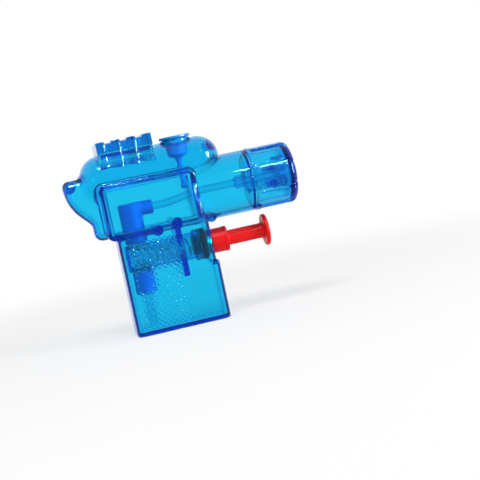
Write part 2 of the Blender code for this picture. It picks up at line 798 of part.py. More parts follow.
def nozzle_cap(look):
    """A fluted cup with a threaded hub inside and a hole for the tip."""
    origin = Vector((CAP_REAR_X, 0, BARREL_Z))
    sides = CAP_FLUTES * CAP_FLUTE_STEPS

    def fluted(depth):
        def reach(radius, angle):
            wave = 0.5 + 0.5 * math.cos(CAP_FLUTES * (angle - CAP_FLUTE_TURN))
            return radius - depth * wave * wave

        return reach

    front = CAP_LENGTH
    half_round = CAP_FRONT_ROUND * (1 - math.sqrt(0.5))
    body_radius = CAP_RADIUS - CAP_STEP
    stations = [
        (0.0, CAP_RADIUS - EDGE, 0.0),
        (EDGE, CAP_RADIUS, 0.0),
        (CAP_RIM, CAP_RADIUS, 0.0),
        (CAP_RIM + CAP_FLUTE_DEPTH, body_radius, CAP_FLUTE_DEPTH),
        (front - CAP_FRONT_ROUND, body_radius, CAP_FLUTE_DEPTH),
        (front - half_round, CAP_RADIUS - half_round, CAP_FLUTE_DEPTH),
        (front, CAP_RADIUS - CAP_FRONT_ROUND, 0.5 * CAP_FLUTE_DEPTH),
    ]
    rings = []
    for along, radius, depth in stations:
        centre = origin + X_AXIS * along
        rings.append(ring_about(centre, X_AXIS, radius, sides, shape=fluted(depth)))
    cap = loft("nozzle_cap", rings)
    bore_length = CAP_LENGTH - CAP_FRONT_WALL
    cut(cap, rod("bore", origin - X_AXIS * WALL, X_AXIS, bore_length + WALL, CAP_BORE, ROUND_SIDES))
    cut(cap, rod("tip_hole", origin, X_AXIS, CAP_LENGTH + WALL, TIP_RADIUS + FIT_GAP))
    hub_rear = bore_length - HUB_LENGTH
    hub_front = bore_length + 0.5 * CAP_FRONT_WALL
    hub_radius = HUB_BORE + HUB_WALL
    ring = [(hub_rear, HUB_BORE), (hub_rear, hub_radius), (hub_front, hub_radius), (hub_front, HUB_BORE)]
    hub = turned("hub", ring, origin, X_AXIS, ROUND_SIDES, loop=True)
    ridge = helix_ridge(
        "ridge",
        THREAD_START_X + 0.5 * THREAD_PITCH,
        NECK_RADIUS + FIT_GAP,
        HUB_BORE + 0.5 * FIT_GAP,
        THREAD_TIP,
        THREAD_ROOT,
        THREAD_TURNS,
    )
    fuse(cap, hub, ridge)
    finish(cap, look, origin)


def nozzle_core(tip_look, seal_look):
    """The jet insert and the washer that the cap presses on the neck."""
    origin = Vector((CAP_INNER_X, 0, BARREL_Z))
    flange_front = -FIT_GAP
    flange_rear = flange_front - TIP_FLANGE_THICKNESS
    sleeve_rear = flange_rear - TIP_SLEEVE
    seal_in = NECK_RADIUS - SEAL_WIDTH
    flange_radius = seal_in - SEAL_TIP_GAP
    nose = CAP_FRONT_WALL - TIP_RECESS
    sleeve = TUBE_SOCKET + TIP_SLEEVE_WALL
    profile = [
        (sleeve_rear, TUBE_SOCKET),
        (sleeve_rear, sleeve),
        (flange_rear, sleeve),
        (flange_rear, flange_radius),
        (flange_front, flange_radius),
        (flange_front, TIP_RADIUS),
        (nose, TIP_RADIUS),
        (nose, JET_RADIUS),
        (flange_rear, JET_RADIUS),
        (flange_rear, TUBE_SOCKET),
    ]
    tip = turned("nozzle_tip", profile, origin, X_AXIS, loop=True)
    finish(tip, tip_look, origin)
    seal_rear = -FIT_GAP - SEAL_THICKNESS
    ring = [(seal_rear, seal_in), (seal_rear, NECK_RADIUS), (-FIT_GAP, NECK_RADIUS), (-FIT_GAP, seal_in)]
    seal = turned("cap_seal", ring, origin, X_AXIS, ROUND_SIDES, loop=True)
    finish(seal, seal_look, origin)


def filler_plug(look):
    """A stopper with a dished flange, a tapered cup and a tail with a bead."""
    seat = FILLER_TOP_Z + FIT_GAP
    origin = Vector((PLUG_X, 0, seat))
    low = -PLUG_CUP_DEPTH
    tail = PLUG_STEM_Z - seat
    foot_radius = PLUG_CUP_RADIUS - PLUG_CUP_TAPER
    top = PLUG_FLANGE_THICKNESS
    profile = [
        (tail, PLUG_STEM_RADIUS),
        (tail + 0.5 * PLUG_BEAD_RADIUS, PLUG_BEAD_RADIUS),
        (tail + PLUG_BEAD_RADIUS, PLUG_BEAD_RADIUS),
        (tail + 1.5 * PLUG_BEAD_RADIUS, PLUG_STEM_RADIUS),
        (low - PLUG_STEM_RADIUS, PLUG_STEM_RADIUS),
        (low, 2 * PLUG_STEM_RADIUS),
        (low + EDGE, foot_radius),
        (0.5 * low, foot_radius + 0.25 * PLUG_CUP_TAPER),
        (0.25 * low, PLUG_CUP_RADIUS - 0.25 * PLUG_CUP_TAPER),
        (0.0, PLUG_CUP_RADIUS),
        (0.0, PLUG_FLANGE_RADIUS),
        (top - EDGE, PLUG_FLANGE_RADIUS),
        (top, PLUG_FLANGE_RADIUS - EDGE),
        (top, PLUG_CUP_RADIUS - 0.5 * PLUG_CUP_TAPER),
        (top - PLUG_DISH_DEPTH, foot_radius),
    ]
    plug = turned("filler_plug", profile, origin, Z_AXIS, MEDIUM_SIDES)
    finish(plug, look, origin)


def riser_elbow(look):
    """The column that holds the outlet valve, with the arm for the nozzle tube."""
    foot = Vector((RISER_X, 0, RISER_FOOT_Z))
    below = foot - Z_AXIS * WALL
    top = BARREL_Z + RISER_TOP_RISE
    column = rod("riser_elbow", foot, Z_AXIS, top - RISER_FOOT_Z, RISER_RADIUS, MEDIUM_SIDES)
    arm_start = Vector((RISER_X, 0, ARM_Z))
    arm_length = ARM_FRONT_X - RISER_X
    fuse(column, rod("arm", arm_start, X_AXIS, arm_length, TUBE_SOCKET + ARM_WALL, MEDIUM_SIDES))
    socket = rod("seat_socket", below, Z_AXIS, SEAT_LENGTH + WALL, SEAT_RADIUS + FIT_GAP, MEDIUM_SIDES)
    chamber = rod("chamber", below, Z_AXIS, SEAT_LENGTH - FIT_GAP + BALL_ROOM + WALL, CHAMBER_RADIUS)
    way_up = rod("way_up", below, Z_AXIS, top - RISER_ROOF - below.z, PORT_RADIUS)
    passage = rod("passage", arm_start, X_AXIS, arm_length, ARM_PASSAGE)
    tube_start = Vector((ARM_FRONT_X - TUBE_GRIP - FIT_GAP, 0, ARM_Z))
    tube_socket = rod("tube_socket", tube_start, X_AXIS, TUBE_GRIP + WALL, TUBE_SOCKET)
    cut(column, socket, chamber, way_up, passage, tube_socket)
    finish(column, look)


def outlet_valve(seat_look, ball_look):
    """The seat pressed into the riser's foot, up to a step in the column, and the ball on it."""
    low = RISER_FOOT_Z
    high = SEAT_TOP_Z - FIT_GAP
    profile = [(low, SEAT_BORE), (low, SEAT_RADIUS), (high, SEAT_RADIUS), (high, SEAT_BORE)]
    seat = turned("outlet_seat", profile, Vector((RISER_X, 0, 0)), Z_AXIS, MEDIUM_SIDES, loop=True)
    finish(seat, seat_look)
    check_ball("outlet_ball", Vector((RISER_X, 0, high + BALL_SEATED)), ball_look)


def check_ball(name, centre, look):
    """A steel ball."""
    profile = []
    for i in range(BALL_RINGS):
        angle = math.pi * (i + 0.5) / BALL_RINGS
        profile.append((-BALL_RADIUS * math.cos(angle), BALL_RADIUS * math.sin(angle)))
    ball = turned(name, profile, centre, Z_AXIS)
    finish(ball, look, centre)


def inlet_valve(valve_look, ball_look, tube_look):
    """The valve body under the cylinder, its ball, and the suction tube to the bottom of the grip."""
    axis_point = Vector((RISER_X, 0, 0))
    throat = VALVE_SEAT_Z - VALVE_THROAT
    foot = throat - VALVE_SOCKET
    socket = SUCTION_RADIUS + FIT_GAP
    profile = [
        (foot, socket),
        (foot, VALVE_RADIUS - EDGE),
        (foot + EDGE, VALVE_RADIUS),
        (VALVE_TOP_Z, VALVE_RADIUS),
        (VALVE_TOP_Z, CHAMBER_RADIUS),
        (VALVE_SEAT_Z, CHAMBER_RADIUS),
        (VALVE_SEAT_Z, SEAT_BORE),
        (throat, SEAT_BORE),
        (throat, socket),
    ]
    valve = turned("inlet_valve", profile, axis_point, Z_AXIS, MEDIUM_SIDES, loop=True)
    finish(valve, valve_look)
    check_ball("inlet_ball", Vector((RISER_X, 0, VALVE_SEAT_Z + BALL_SEATED)), ball_look)
    top = throat - FIT_GAP
    bottom = WALL + SUCTION_FLOOR_GAP
    bore = SUCTION_RADIUS - SUCTION_WALL
    ring = [(bottom, bore), (bottom, SUCTION_RADIUS), (top, SUCTION_RADIUS), (top, bore)]
    tube = turned("suction_tube", ring, axis_point, Z_AXIS, loop=True)
    finish(tube, tube_look)


def pump_cylinder(look):
    """A tube with a closed rear, a front flange, and a port above and below."""
    axis_point = Vector((0, 0, TRIGGER_Z))
    flange_x = CYLINDER_FRONT_X - FLANGE_THICKNESS
    profile = [
        (CYLINDER_REAR_X, CYLINDER_RADIUS - EDGE),
        (CYLINDER_REAR_X + EDGE, CYLINDER_RADIUS),
        (flange_x, CYLINDER_RADIUS),
        (flange_x, FLANGE_RADIUS),
        (CYLINDER_FRONT_X, FLANGE_RADIUS),
    ]
    cylinder = turned("pump_cylinder", profile, axis_point, X_AXIS, ROUND_SIDES)
    bore_start = Vector((CYLINDER_REAR_X + WALL, 0, TRIGGER_Z))
    bore_length = CYLINDER_FRONT_X - bore_start.x + WALL
    bore = rod("bore", bore_start, X_AXIS, bore_length, CYLINDER_BORE, ROUND_SIDES)
    reach = CYLINDER_RADIUS + WALL
    ports = rod("ports", Vector((RISER_X, 0, TRIGGER_Z - reach)), Z_AXIS, 2 * reach, PORT_RADIUS)
    cut(cylinder, bore, ports)
    finish(cylinder, look)


def pump_collar(collar_look, gasket_look):
    """The red gland that guides the shaft, and the gasket behind it."""
    axis_point = Vector((0, 0, TRIGGER_Z))
    shoulder_front = COLLAR_REAR_X + COLLAR_SHOULDER
    lip_radius = COLLAR_RADIUS + COLLAR_LIP_RISE
    profile = [
        (COLLAR_REAR_X, COLLAR_BORE),
        (COLLAR_REAR_X, FLANGE_RADIUS),
        (shoulder_front, FLANGE_RADIUS),
        (shoulder_front, COLLAR_RADIUS),
        (COLLAR_FRONT_X - COLLAR_LIP, COLLAR_RADIUS),
        (COLLAR_FRONT_X - COLLAR_LIP + COLLAR_LIP_RISE, lip_radius),
        (COLLAR_FRONT_X - COLLAR_LIP_RISE, lip_radius),
        (COLLAR_FRONT_X, lip_radius - COLLAR_LIP_RISE),
        (COLLAR_FRONT_X, COLLAR_BORE),
    ]
    collar = turned("pump_collar", profile, axis_point, X_AXIS, MEDIUM_SIDES, loop=True)
    finish(collar, collar_look)
    rear = CYLINDER_FRONT_X + FIT_GAP
    front = rear + GASKET_THICKNESS
    inner = CYLINDER_BORE + FIT_GAP
    ring = [(rear, inner), (rear, FLANGE_RADIUS), (front, FLANGE_RADIUS), (front, inner)]
    gasket = turned("collar_gasket", ring, axis_point, X_AXIS, MEDIUM_SIDES, loop=True)
    finish(gasket, gasket_look)


def trigger(plunger_look, seal_look):
    """The plunger: piston, shaft and finger disc. Its seal ring sits in a groove."""
    origin = Vector((DISC_REAR_X, 0, TRIGGER_Z))
    piston_radius = CYLINDER_BORE - FIT_GAP
    groove_front = PISTON_FRONT_X - 0.5 * (PISTON_LENGTH - PISTON_GROOVE)
    groove_rear = groove_front - PISTON_GROOVE
    groove_floor = piston_radius - PISTON_GROOVE_DEPTH
    disc_front = DISC_REAR_X + DISC_THICKNESS
    places = [
        (PISTON_REAR_X, piston_radius),
        (groove_rear, piston_radius),
        (groove_rear, groove_floor),
        (groove_front, groove_floor),
        (groove_front, piston_radius),
        (PISTON_FRONT_X, piston_radius),
        (PISTON_FRONT_X, SHAFT_RADIUS),
        (DISC_REAR_X - SHAFT_FLARE, SHAFT_RADIUS),
        (DISC_REAR_X, SHAFT_RADIUS + SHAFT_FLARE),
        (DISC_REAR_X, DISC_RADIUS - 0.5 * EDGE),
        (DISC_REAR_X + 0.5 * EDGE, DISC_RADIUS),
        (disc_front - EDGE, DISC_RADIUS),
        (disc_front, DISC_RADIUS - 2 * EDGE),
    ]
    axis_point = Vector((0, 0, TRIGGER_Z))
    plunger = turned("trigger_plunger", places, axis_point, X_AXIS, MEDIUM_SIDES)
    finish(plunger, plunger_look, origin)
    side = 0.5 * FIT_GAP
    ring = [
        (groove_rear + side, groove_floor + side),
        (groove_rear + side, CYLINDER_BORE - side),
        (groove_front - side, CYLINDER_BORE - side),
        (groove_front - side, groove_floor + side),
    ]
    seal = turned("piston_seal", ring, axis_point, X_AXIS, MEDIUM_SIDES, loop=True)
    finish(seal, seal_look, origin)


def return_spring(look):
    """A steel helix between the cylinder's rear wall and the piston, as one unbroken wire."""
    rear = CYLINDER_REAR_X + WALL + WIRE_RADIUS + FIT_GAP
    front = PISTON_REAR_X - WIRE_RADIUS - FIT_GAP
    count = SPRING_TURNS * POINTS_PER_CURL
    points = []
    for i in range(count + 1):
        angle = 2 * math.pi * i / POINTS_PER_CURL
        x = rear + (front - rear) * i / count
        up = SPRING_RADIUS * math.sin(angle)
        points.append(Vector((x, SPRING_RADIUS * math.cos(angle), TRIGGER_Z + up)))
    least = math.inf
    for i, point in enumerate(points):
        for other in points[i + POINTS_PER_CURL // 2 :]:
            least = min(least, (other - point).length)
    print("return_spring least gap to itself, mm:", round((least - 2 * WIRE_RADIUS) / MM, 2))
    curve = bpy.data.curves.new("return_spring", "CURVE")
    curve.dimensions = "3D"
    curve.bevel_depth = WIRE_RADIUS
    curve.bevel_resolution = 1
    curve.use_fill_caps = True
    spline = curve.splines.new("POLY")
    spline.points.add(count)
    for spot, point in zip(spline.points, points):
        spot.co = (*point, 1.0)
    curve.materials.append(look)
    made = bpy.data.objects.new("return_spring", curve)
    bpy.context.scene.collection.objects.link(made)


def main():
    for old in list(bpy.data.objects):
        bpy.data.objects.remove(old)
    clear_blue = material("clear_blue_plastic", (0.02, 0.45, 0.80), 0.08, alpha=0.4)
    deep_blue = material("cap_blue_plastic", (0.01, 0.25, 0.75), 0.08, alpha=0.5)
    mid_blue = material("mid_blue_plastic", (0.01, 0.16, 0.75), 0.3)
    soft_blue = material("soft_blue_stopper", (0.01, 0.15, 0.72), 0.4)
    clear_tube = material("clear_tube", (0.35, 0.75, 0.92), 0.15, alpha=0.5)
    red = material("red_plastic", (0.75, 0.01, 0.015), 0.25)
    rubber = material("milky_silicone", (0.70, 0.82, 0.88), 0.5)
    steel = material("spring_steel", (0.6, 0.6, 0.62), 0.3, metallic=1.0)
    casing_halves(clear_blue)
    top_rail(clear_blue)
    nozzle_cap(deep_blue)
    nozzle_core(deep_blue, rubber)
    filler_plug(soft_blue)
    riser_elbow(mid_blue)
    outlet_valve(mid_blue, steel)
    inlet_valve(mid_blue, steel, clear_tube)
    nozzle_tube(clear_tube)
    pump_cylinder(clear_blue)
    pump_collar(red, rubber)
    trigger(red, rubber)
    return_spring(steel)


main()
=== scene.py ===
# %% [markdown]
# # A clear blue water squirter
#
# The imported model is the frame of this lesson: every piece below is made at the place and size of the
# solid that it stands for, and then rides on the same moving body. Lengths are in millimetres while a
# piece is being worked out, and turn into Blender's metres when its mesh is made.

# %% Load the frame and the tools
import math

import bpy
import numpy as np
from mathutils import Matrix, Vector


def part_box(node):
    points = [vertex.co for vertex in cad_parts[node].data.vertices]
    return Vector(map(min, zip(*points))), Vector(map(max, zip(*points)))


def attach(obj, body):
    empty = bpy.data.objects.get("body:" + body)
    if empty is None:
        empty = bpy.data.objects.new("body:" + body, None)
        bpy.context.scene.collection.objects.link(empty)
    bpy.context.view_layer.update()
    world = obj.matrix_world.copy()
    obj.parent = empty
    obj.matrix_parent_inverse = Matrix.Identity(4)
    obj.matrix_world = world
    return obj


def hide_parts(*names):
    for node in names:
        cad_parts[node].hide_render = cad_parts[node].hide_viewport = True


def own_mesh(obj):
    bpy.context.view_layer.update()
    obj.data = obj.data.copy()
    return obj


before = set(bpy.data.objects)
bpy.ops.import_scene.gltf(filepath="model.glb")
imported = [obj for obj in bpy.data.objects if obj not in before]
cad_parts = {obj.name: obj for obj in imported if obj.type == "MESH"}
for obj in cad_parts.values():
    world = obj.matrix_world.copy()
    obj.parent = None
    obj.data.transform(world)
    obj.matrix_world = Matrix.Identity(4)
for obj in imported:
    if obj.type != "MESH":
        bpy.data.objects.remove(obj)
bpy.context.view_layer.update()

MM = 0.001


def span(node):
    """Lowest and highest corner of a solid, in millimetres."""
    low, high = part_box(node)
    return np.array(low) / MM, np.array(high) / MM


# %% [markdown]
# ## The camera
#
# The photograph was taken from the squirter's right side, a little behind it and level with the tank,
# with the muzzle tipped up in the picture. The rims of the barrel and the cap are circles, so how wide
# they look gives the camera's angle. It could be aimed with a constraint, but a matrix built from three
# angles says exactly where it looks.

# %% Camera
CAMERA_AT = Vector((-56.6, -440.0, 61.6)) * MM
CAMERA_YAW = math.radians(9.68)
CAMERA_PITCH = math.radians(-4.42)
CAMERA_ROLL = math.radians(-11.85)
FOCAL_PIXELS = 1165.0
PHOTO_PIXELS = 480
SENSOR_WIDTH = 36.0
NEAREST = 0.01

scene = bpy.context.scene
yaw = Matrix.Rotation(-CAMERA_YAW, 4, "Z")
pitch = Matrix.Rotation(math.pi / 2 + CAMERA_PITCH, 4, "X")
roll = Matrix.Rotation(CAMERA_ROLL, 4, "Z")
lens = bpy.data.cameras.new("camera")
lens.sensor_width = SENSOR_WIDTH
lens.lens = FOCAL_PIXELS * SENSOR_WIDTH / PHOTO_PIXELS
lens.clip_start = NEAREST
camera = bpy.data.objects.new("camera", lens)
camera.matrix_world = Matrix.Translation(CAMERA_AT) @ yaw @ pitch @ roll
scene.collection.objects.link(camera)
scene.camera = camera
print("camera: lens", round(lens.lens, 1), "mm")

# %% [markdown]
# ## Wiring shaders as sums
#
# A finish is a small graph of nodes. Placing every node by name is long and hard to read, so one class
# wraps a socket and lets Python's own operators add the Math nodes. Everything else comes from a single
# method that takes the node's type, its settings, and what goes into its sockets.


# %% A socket that takes part in sums
class Wire:
    """A shader socket that can be added, subtracted and multiplied."""

    def __init__(self, graph, socket):
        self.graph = graph
        self.socket = socket

    def sum_of(self, operation, first, second):
        return self.graph.node("ShaderNodeMath", {"operation": operation}, {0: first, 1: second})

    def __add__(self, other):
        return self.sum_of("ADD", self, other)

    def __sub__(self, other):
        return self.sum_of("SUBTRACT", self, other)

    def __rsub__(self, other):
        return self.sum_of("SUBTRACT", other, self)

    def __mul__(self, other):
        return self.sum_of("MULTIPLY", self, other)

    def __pow__(self, other):
        return self.sum_of("POWER", self, other)

    def larger(self, other):
        return self.sum_of("MAXIMUM", self, other)

    __radd__ = __add__
    __rmul__ = __mul__


class Graph:
    """The nodes of one material or world."""

    def __init__(self, owner):
        owner.use_nodes = True
        self.tree = owner.node_tree
        self.tree.nodes.clear()

    def node(self, kind, settings=None, sockets=None, output=0):
        """Add a node, set it, fill its sockets, and give back one of its outputs."""
        made = self.tree.nodes.new(kind)
        for name, value in (settings or {}).items():
            setattr(made, name, value)
        for name, value in (sockets or {}).items():
            socket = made.inputs[name]
            if isinstance(value, Wire):
                self.tree.links.new(value.socket, socket)
            else:
                socket.default_value = value
        return Wire(self, made.outputs[output]) if len(made.outputs) else None


print("shader sums ready")

# %% [markdown]
# ## Background, floor and lamps
#
# The squirter stands on a pale floor in an even white room. The room is white to the camera and to what
# the plastic mirrors or lets through, and a little dimmer as a lamp. The floor is half a lit surface and
# half plain white, so that it keeps the shadow but has no edge far away.

# %% The white room
ROOM_LIGHT = 0.5


def seen_directly(graph):
    """One for rays from the camera, from a mirror or through clear plastic."""
    kinds = ("Is Camera Ray", "Is Glossy Ray", "Is Transmission Ray")
    camera, mirror, clear = (graph.node("ShaderNodeLightPath", output=kind) for kind in kinds)
    return camera.larger(mirror).larger(clear)


world = bpy.data.worlds.new("white_room")
scene.world = world
room = Graph(world)
strength = seen_directly(room) * (1 - ROOM_LIGHT) + ROOM_LIGHT
sky = room.node("ShaderNodeBackground", {}, {"Color": (1, 1, 1, 1), "Strength": strength})
room.node("ShaderNodeOutputWorld", {}, {"Surface": sky})
print("room light", ROOM_LIGHT)

# %% The floor
FLOOR_SIZE = 6.0
FLOOR_DROP = 0.1 * MM
FLOOR_WHITE = 0.93
FLOOR_SHADOW = 0.45
FADE_FROM = 0.10
FADE_TO = 0.30

floor_mesh = bpy.data.meshes.new("floor")
edge = 0.5 * FLOOR_SIZE
corners = [(side * edge, back * edge, -FLOOR_DROP) for side, back in ((-1, -1), (1, -1), (1, 1), (-1, 1))]
floor_mesh.from_pydata(corners, [], [(0, 1, 2, 3)])
floor = bpy.data.objects.new("floor", floor_mesh)
scene.collection.objects.link(floor)

floor_look = bpy.data.materials.new("pale_floor")
graph = Graph(floor_look)
place = graph.node("ShaderNodeTexCoord", output="Object")
reach = graph.node("ShaderNodeVectorMath", {"operation": "LENGTH"}, {0: place}, output="Value")
shadow = graph.node(
    "ShaderNodeMapRange",
    {"interpolation_type": "SMOOTHSTEP"},
    {"Value": reach, "From Min": FADE_FROM, "From Max": FADE_TO, "To Min": FLOOR_SHADOW, "To Max": 0.0},
)
lit = graph.node("ShaderNodeBsdfDiffuse", {}, {"Color": (FLOOR_WHITE, FLOOR_WHITE, FLOOR_WHITE, 1)})
plain = graph.node("ShaderNodeEmission", {}, {"Color": (1, 1, 1, 1), "Strength": 1.0})
mixed = graph.node("ShaderNodeMixShader", {}, {0: (1 - shadow) * seen_directly(graph), 1: lit, 2: plain})
graph.node("ShaderNodeOutputMaterial", {}, {"Surface": mixed})
floor_mesh.materials.append(floor_look)
print("floor", FLOOR_SIZE, "m")

# %% [markdown]
# Two softboxes light the squirter from the front and from above. Polished edges also show long white
# lines, which are mirror images of windows. Stronger softboxes would draw them, but would wash out the
# colours too, so three more lamps are there only to be mirrored: the camera, dull surfaces and rays
# inside the plastic don't see them.

# %% Softboxes and glints
CLEAR_BOUNCES = 32
MIRROR_BOUNCES = 8
LAMPS = {
    "front_softbox": ((0.49, -0.31, 0.14), (0.16, 0.24), 2.0, True),
    "top_softbox": ((-0.10, -0.30, 0.60), (0.30, 0.16), 1.6, True),
    "front_glint": ((0.49, -0.31, 0.11), (0.14, 0.20), 13.0, False),
    "top_glint": ((-0.03, -0.30, 0.52), (0.14, 0.08), 5.0, False),
    "cap_glint": ((0.155, -0.44, 0.45), (0.06, 0.05), 0.6, False),
}
AIM = Vector((0.0, 0.0, 0.045))

for name, (place, size, watts, lights_colours) in LAMPS.items():
    lamp_data = bpy.data.lights.new(name, "AREA")
    lamp_data.shape = "RECTANGLE"
    lamp_data.size, lamp_data.size_y = size
    lamp_data.energy = watts
    lamp = bpy.data.objects.new(name, lamp_data)
    lamp.location = place
    lamp.rotation_euler = (AIM - Vector(place)).to_track_quat("-Z", "Y").to_euler()
    lamp.visible_camera = False
    lamp.visible_diffuse = lights_colours
    lamp.visible_transmission = lights_colours
    scene.collection.objects.link(lamp)
scene.view_settings.view_transform = "Standard"
scene.cycles.max_bounces = CLEAR_BOUNCES
scene.cycles.transmission_bounces = CLEAR_BOUNCES
scene.cycles.glossy_bounces = MIRROR_BOUNCES
print("lamps:", ", ".join(LAMPS))

# %% [markdown]
# ## Finishes
#
# The casing is clear moulded styrene, tinted through, so the colour has to come from the depth of plastic
# that light crosses: a thin wall is pale cyan and the same wall seen edge-on is navy. Painted shading
# would slide about in other views. An absorbing volume behind a clear surface does it for free. The
# surface itself is polished, with faint ripples from the mould and a few dull smudges from use.

# %% Clear plastic
BLUE_GLINT = (0.2, 0.65, 1.0, 1)
SURFACE_TINT = (1.0, 1.0, 0.965, 1)
RIPPLES = 140.0
RIPPLE_DEPTH = 0.25
SMUDGES = 420.0
SMUDGE_DULLNESS = 0.16
SMUDGE_RELIEF = 0.12


def grain(graph, scale, detail=2.0, roughness=0.5):
    """A soft noise between nought and one, with scale in lumps per metre."""
    place = graph.node("ShaderNodeTexCoord", output="Object")
    sockets = {"Vector": place, "Scale": scale, "Detail": detail, "Roughness": roughness}
    return graph.node("ShaderNodeTexNoise", {}, sockets)


def bumped(graph, height, strength, depth):
    """A normal that follows a height, in millimetres of depth."""
    sockets = {"Height": height, "Strength": strength, "Distance": depth * MM}
    return graph.node("ShaderNodeBump", {}, sockets)


def clear_plastic(name, tint, density, gloss, ripple, index=1.46):
    """See-through tinted plastic whose colour deepens with thickness."""
    look = bpy.data.materials.new(name)
    graph = Graph(look)
    ripples = grain(graph, RIPPLES)
    smudges = grain(graph, SMUDGES, 4.0, 0.6)
    dull = gloss + smudges**3 * SMUDGE_DULLNESS
    normal = bumped(graph, ripples + smudges * SMUDGE_RELIEF, ripple, RIPPLE_DEPTH)
    skin = graph.node(
        "ShaderNodeBsdfPrincipled",
        {},
        {
            "Base Color": SURFACE_TINT,
            "Roughness": dull,
            "Normal": normal,
            "IOR": index,
            "Specular Tint": BLUE_GLINT,
            "Transmission Weight": 1.0,
        },
    )
    depth = graph.node("ShaderNodeVolumeAbsorption", {}, {"Color": (*tint, 1), "Density": density})
    graph.node("ShaderNodeOutputMaterial", {}, {"Surface": skin, "Volume": depth})
    return look


clear_blue = clear_plastic("clear_blue_casing", (0.0, 0.868, 0.978), 1650.0, 0.02, 0.12)
rail_blue = clear_plastic("clear_blue_rail", (0.0, 0.895, 0.968), 780.0, 0.02, 0.1)
cap_blue = clear_plastic("deep_blue_cap", (0.0, 0.84, 0.976), 1400.0, 0.03, 0.15)
clear_tube = clear_plastic("blue_tubing", (0.0, 0.87, 0.975), 1500.0, 0.06, 0.15, index=1.2)
print("clear finishes:", ", ".join(look.name for look in (clear_blue, rail_blue, cap_blue, clear_tube)))

# %% [markdown]
# The plug, the riser and the valve parts are the same blue with pigment added, so they are solid colour
# with a soft sheen. The trigger is a glossy red moulding with faint flow marks. The seals are milky
# silicone, dull and nearly clear, and the spring and the balls are bright steel. A flat colour would look
# like paper, so two close colours drift into one another and the skin has a fine grain.

# %% Solid finishes
PLAIN_GLINT = (1, 1, 1, 1)
RED_GLINT = (1, 0.35, 0.3, 1)
CLOUD_DULLNESS = 0.08
FINE_GRAIN = 2600.0
FINE_DULLNESS = 0.06
FINE_BUMP = 0.15
FINE_DEPTH = 0.05


def moulded(name, colour, shade, gloss, mottle, metal=0.0, glint=PLAIN_GLINT, shine=0.3):
    """A pigmented surface: two close colours in soft clouds, with a fine skin."""
    look = bpy.data.materials.new(name)
    graph = Graph(look)
    clouds = grain(graph, mottle, 3.0)
    fine = grain(graph, FINE_GRAIN, 3.0, 0.6)
    paint = graph.node(
        "ShaderNodeMix",
        {"data_type": "RGBA"},
        {"Factor": clouds, 6: (*colour, 1), 7: (*shade, 1)},
        output=2,
    )
    skin = graph.node(
        "ShaderNodeBsdfPrincipled",
        {},
        {
            "Base Color": paint,
            "Roughness": gloss + clouds * CLOUD_DULLNESS + fine * FINE_DULLNESS,
            "Metallic": metal,
            "Specular IOR Level": shine,
            "Specular Tint": glint,
            "Normal": bumped(graph, fine, FINE_BUMP, FINE_DEPTH),
        },
    )
    graph.node("ShaderNodeOutputMaterial", {}, {"Surface": skin})
    return look


mid_blue = moulded("mid_blue_fittings", (0.0, 0.11, 0.53), (0.0, 0.155, 0.585), 0.22, 180.0)
soft_blue = moulded("soft_blue_plug", (0.0, 0.22, 0.60), (0.0, 0.255, 0.64), 0.30, 220.0)
red_looks = ((0.84, 0.012, 0.014), (0.76, 0.009, 0.011), 0.22, 160.0)
red = moulded("glossy_red_trigger", *red_looks, glint=RED_GLINT, shine=0.2)
rubber = clear_plastic("milky_silicone", (0.55, 0.80, 0.95), 900.0, 0.35, 0.1)
steel = moulded("bright_steel", (0.62, 0.63, 0.65), (0.50, 0.51, 0.53), 0.18, 500.0, metal=1.0)
print("solid finishes:", ", ".join(look.name for look in (mid_blue, soft_blue, red, rubber, steel)))

# %% [markdown]
# ## Forms from distances
#
# A moulded casing is many simple forms run together with soft corners. Boolean modifiers would leave hard
# seams between them, and sculpting would not repeat. Here each form is a formula for the distance to its
# surface, in millimetres and negative inside. Two distances blend into one with a rounded corner, a wall
# is the distance moved inwards, and a grid of cells turns the result into an even mesh of quads.


# %% Distances that blend
def join(first, second, blend):
    """Either form, with the inner corner filled."""
    near = np.maximum(blend - np.abs(first - second), 0) / blend
    return np.minimum(first, second) - 0.25 * blend * near * near


def cut(form, tool, blend):
    """The form without the tool, with the new edge rounded."""
    return -join(-form, tool, blend)


def both(first, second, blend):
    """Where the forms overlap, with the edge rounded."""
    return -join(-first, -second, blend)


def rounded(first, second, radius):
    """Inside both forms, with a true quarter circle where they meet."""
    first, second = first + radius, second + radius
    outside = np.hypot(np.maximum(first, 0), np.maximum(second, 0))
    return outside + np.minimum(np.maximum(first, second), 0) - radius


def between(place, low, high):
    """Distance to a slice between two levels."""
    return np.abs(place - (low + high) / 2) - (high - low) / 2


def panel(u, v, low, high, corner):
    """A flat rectangle with round corners."""
    return rounded(between(u, low[0], high[0]), between(v, low[1], high[1]), corner)


def thicken(outline, across, low, high, edge):
    """A flat outline drawn out between two levels, with rounded edges."""
    return rounded(outline, between(across, low, high), edge)


def polygon(u, v, corners):
    """Distance to a closed outline of straight runs."""
    nearest = np.inf
    inside = False
    for (from_u, from_v), (to_u, to_v) in zip(corners, corners[1:] + corners[:1]):
        run_u, run_v = to_u - from_u, to_v - from_v
        off_u, off_v = u - from_u, v - from_v
        part = np.clip((off_u * run_u + off_v * run_v) / (run_u**2 + run_v**2), 0, 1)
        nearest = np.minimum(nearest, (off_u - run_u * part) ** 2 + (off_v - run_v * part) ** 2)
        if run_v:
            crossing = ((from_v > v) != (to_v > v)) & (u < from_u + run_u * off_v / run_v)
            inside = inside ^ crossing
    return np.where(inside, -1.0, 1.0) * np.sqrt(nearest)


print("distance forms ready")

# %% From distances to a mesh
SETTLE_STEPS = 3
SETTLE_LIMIT = 0.4
POINT_REACH = 0.06
NORMAL_REACH = 0.15


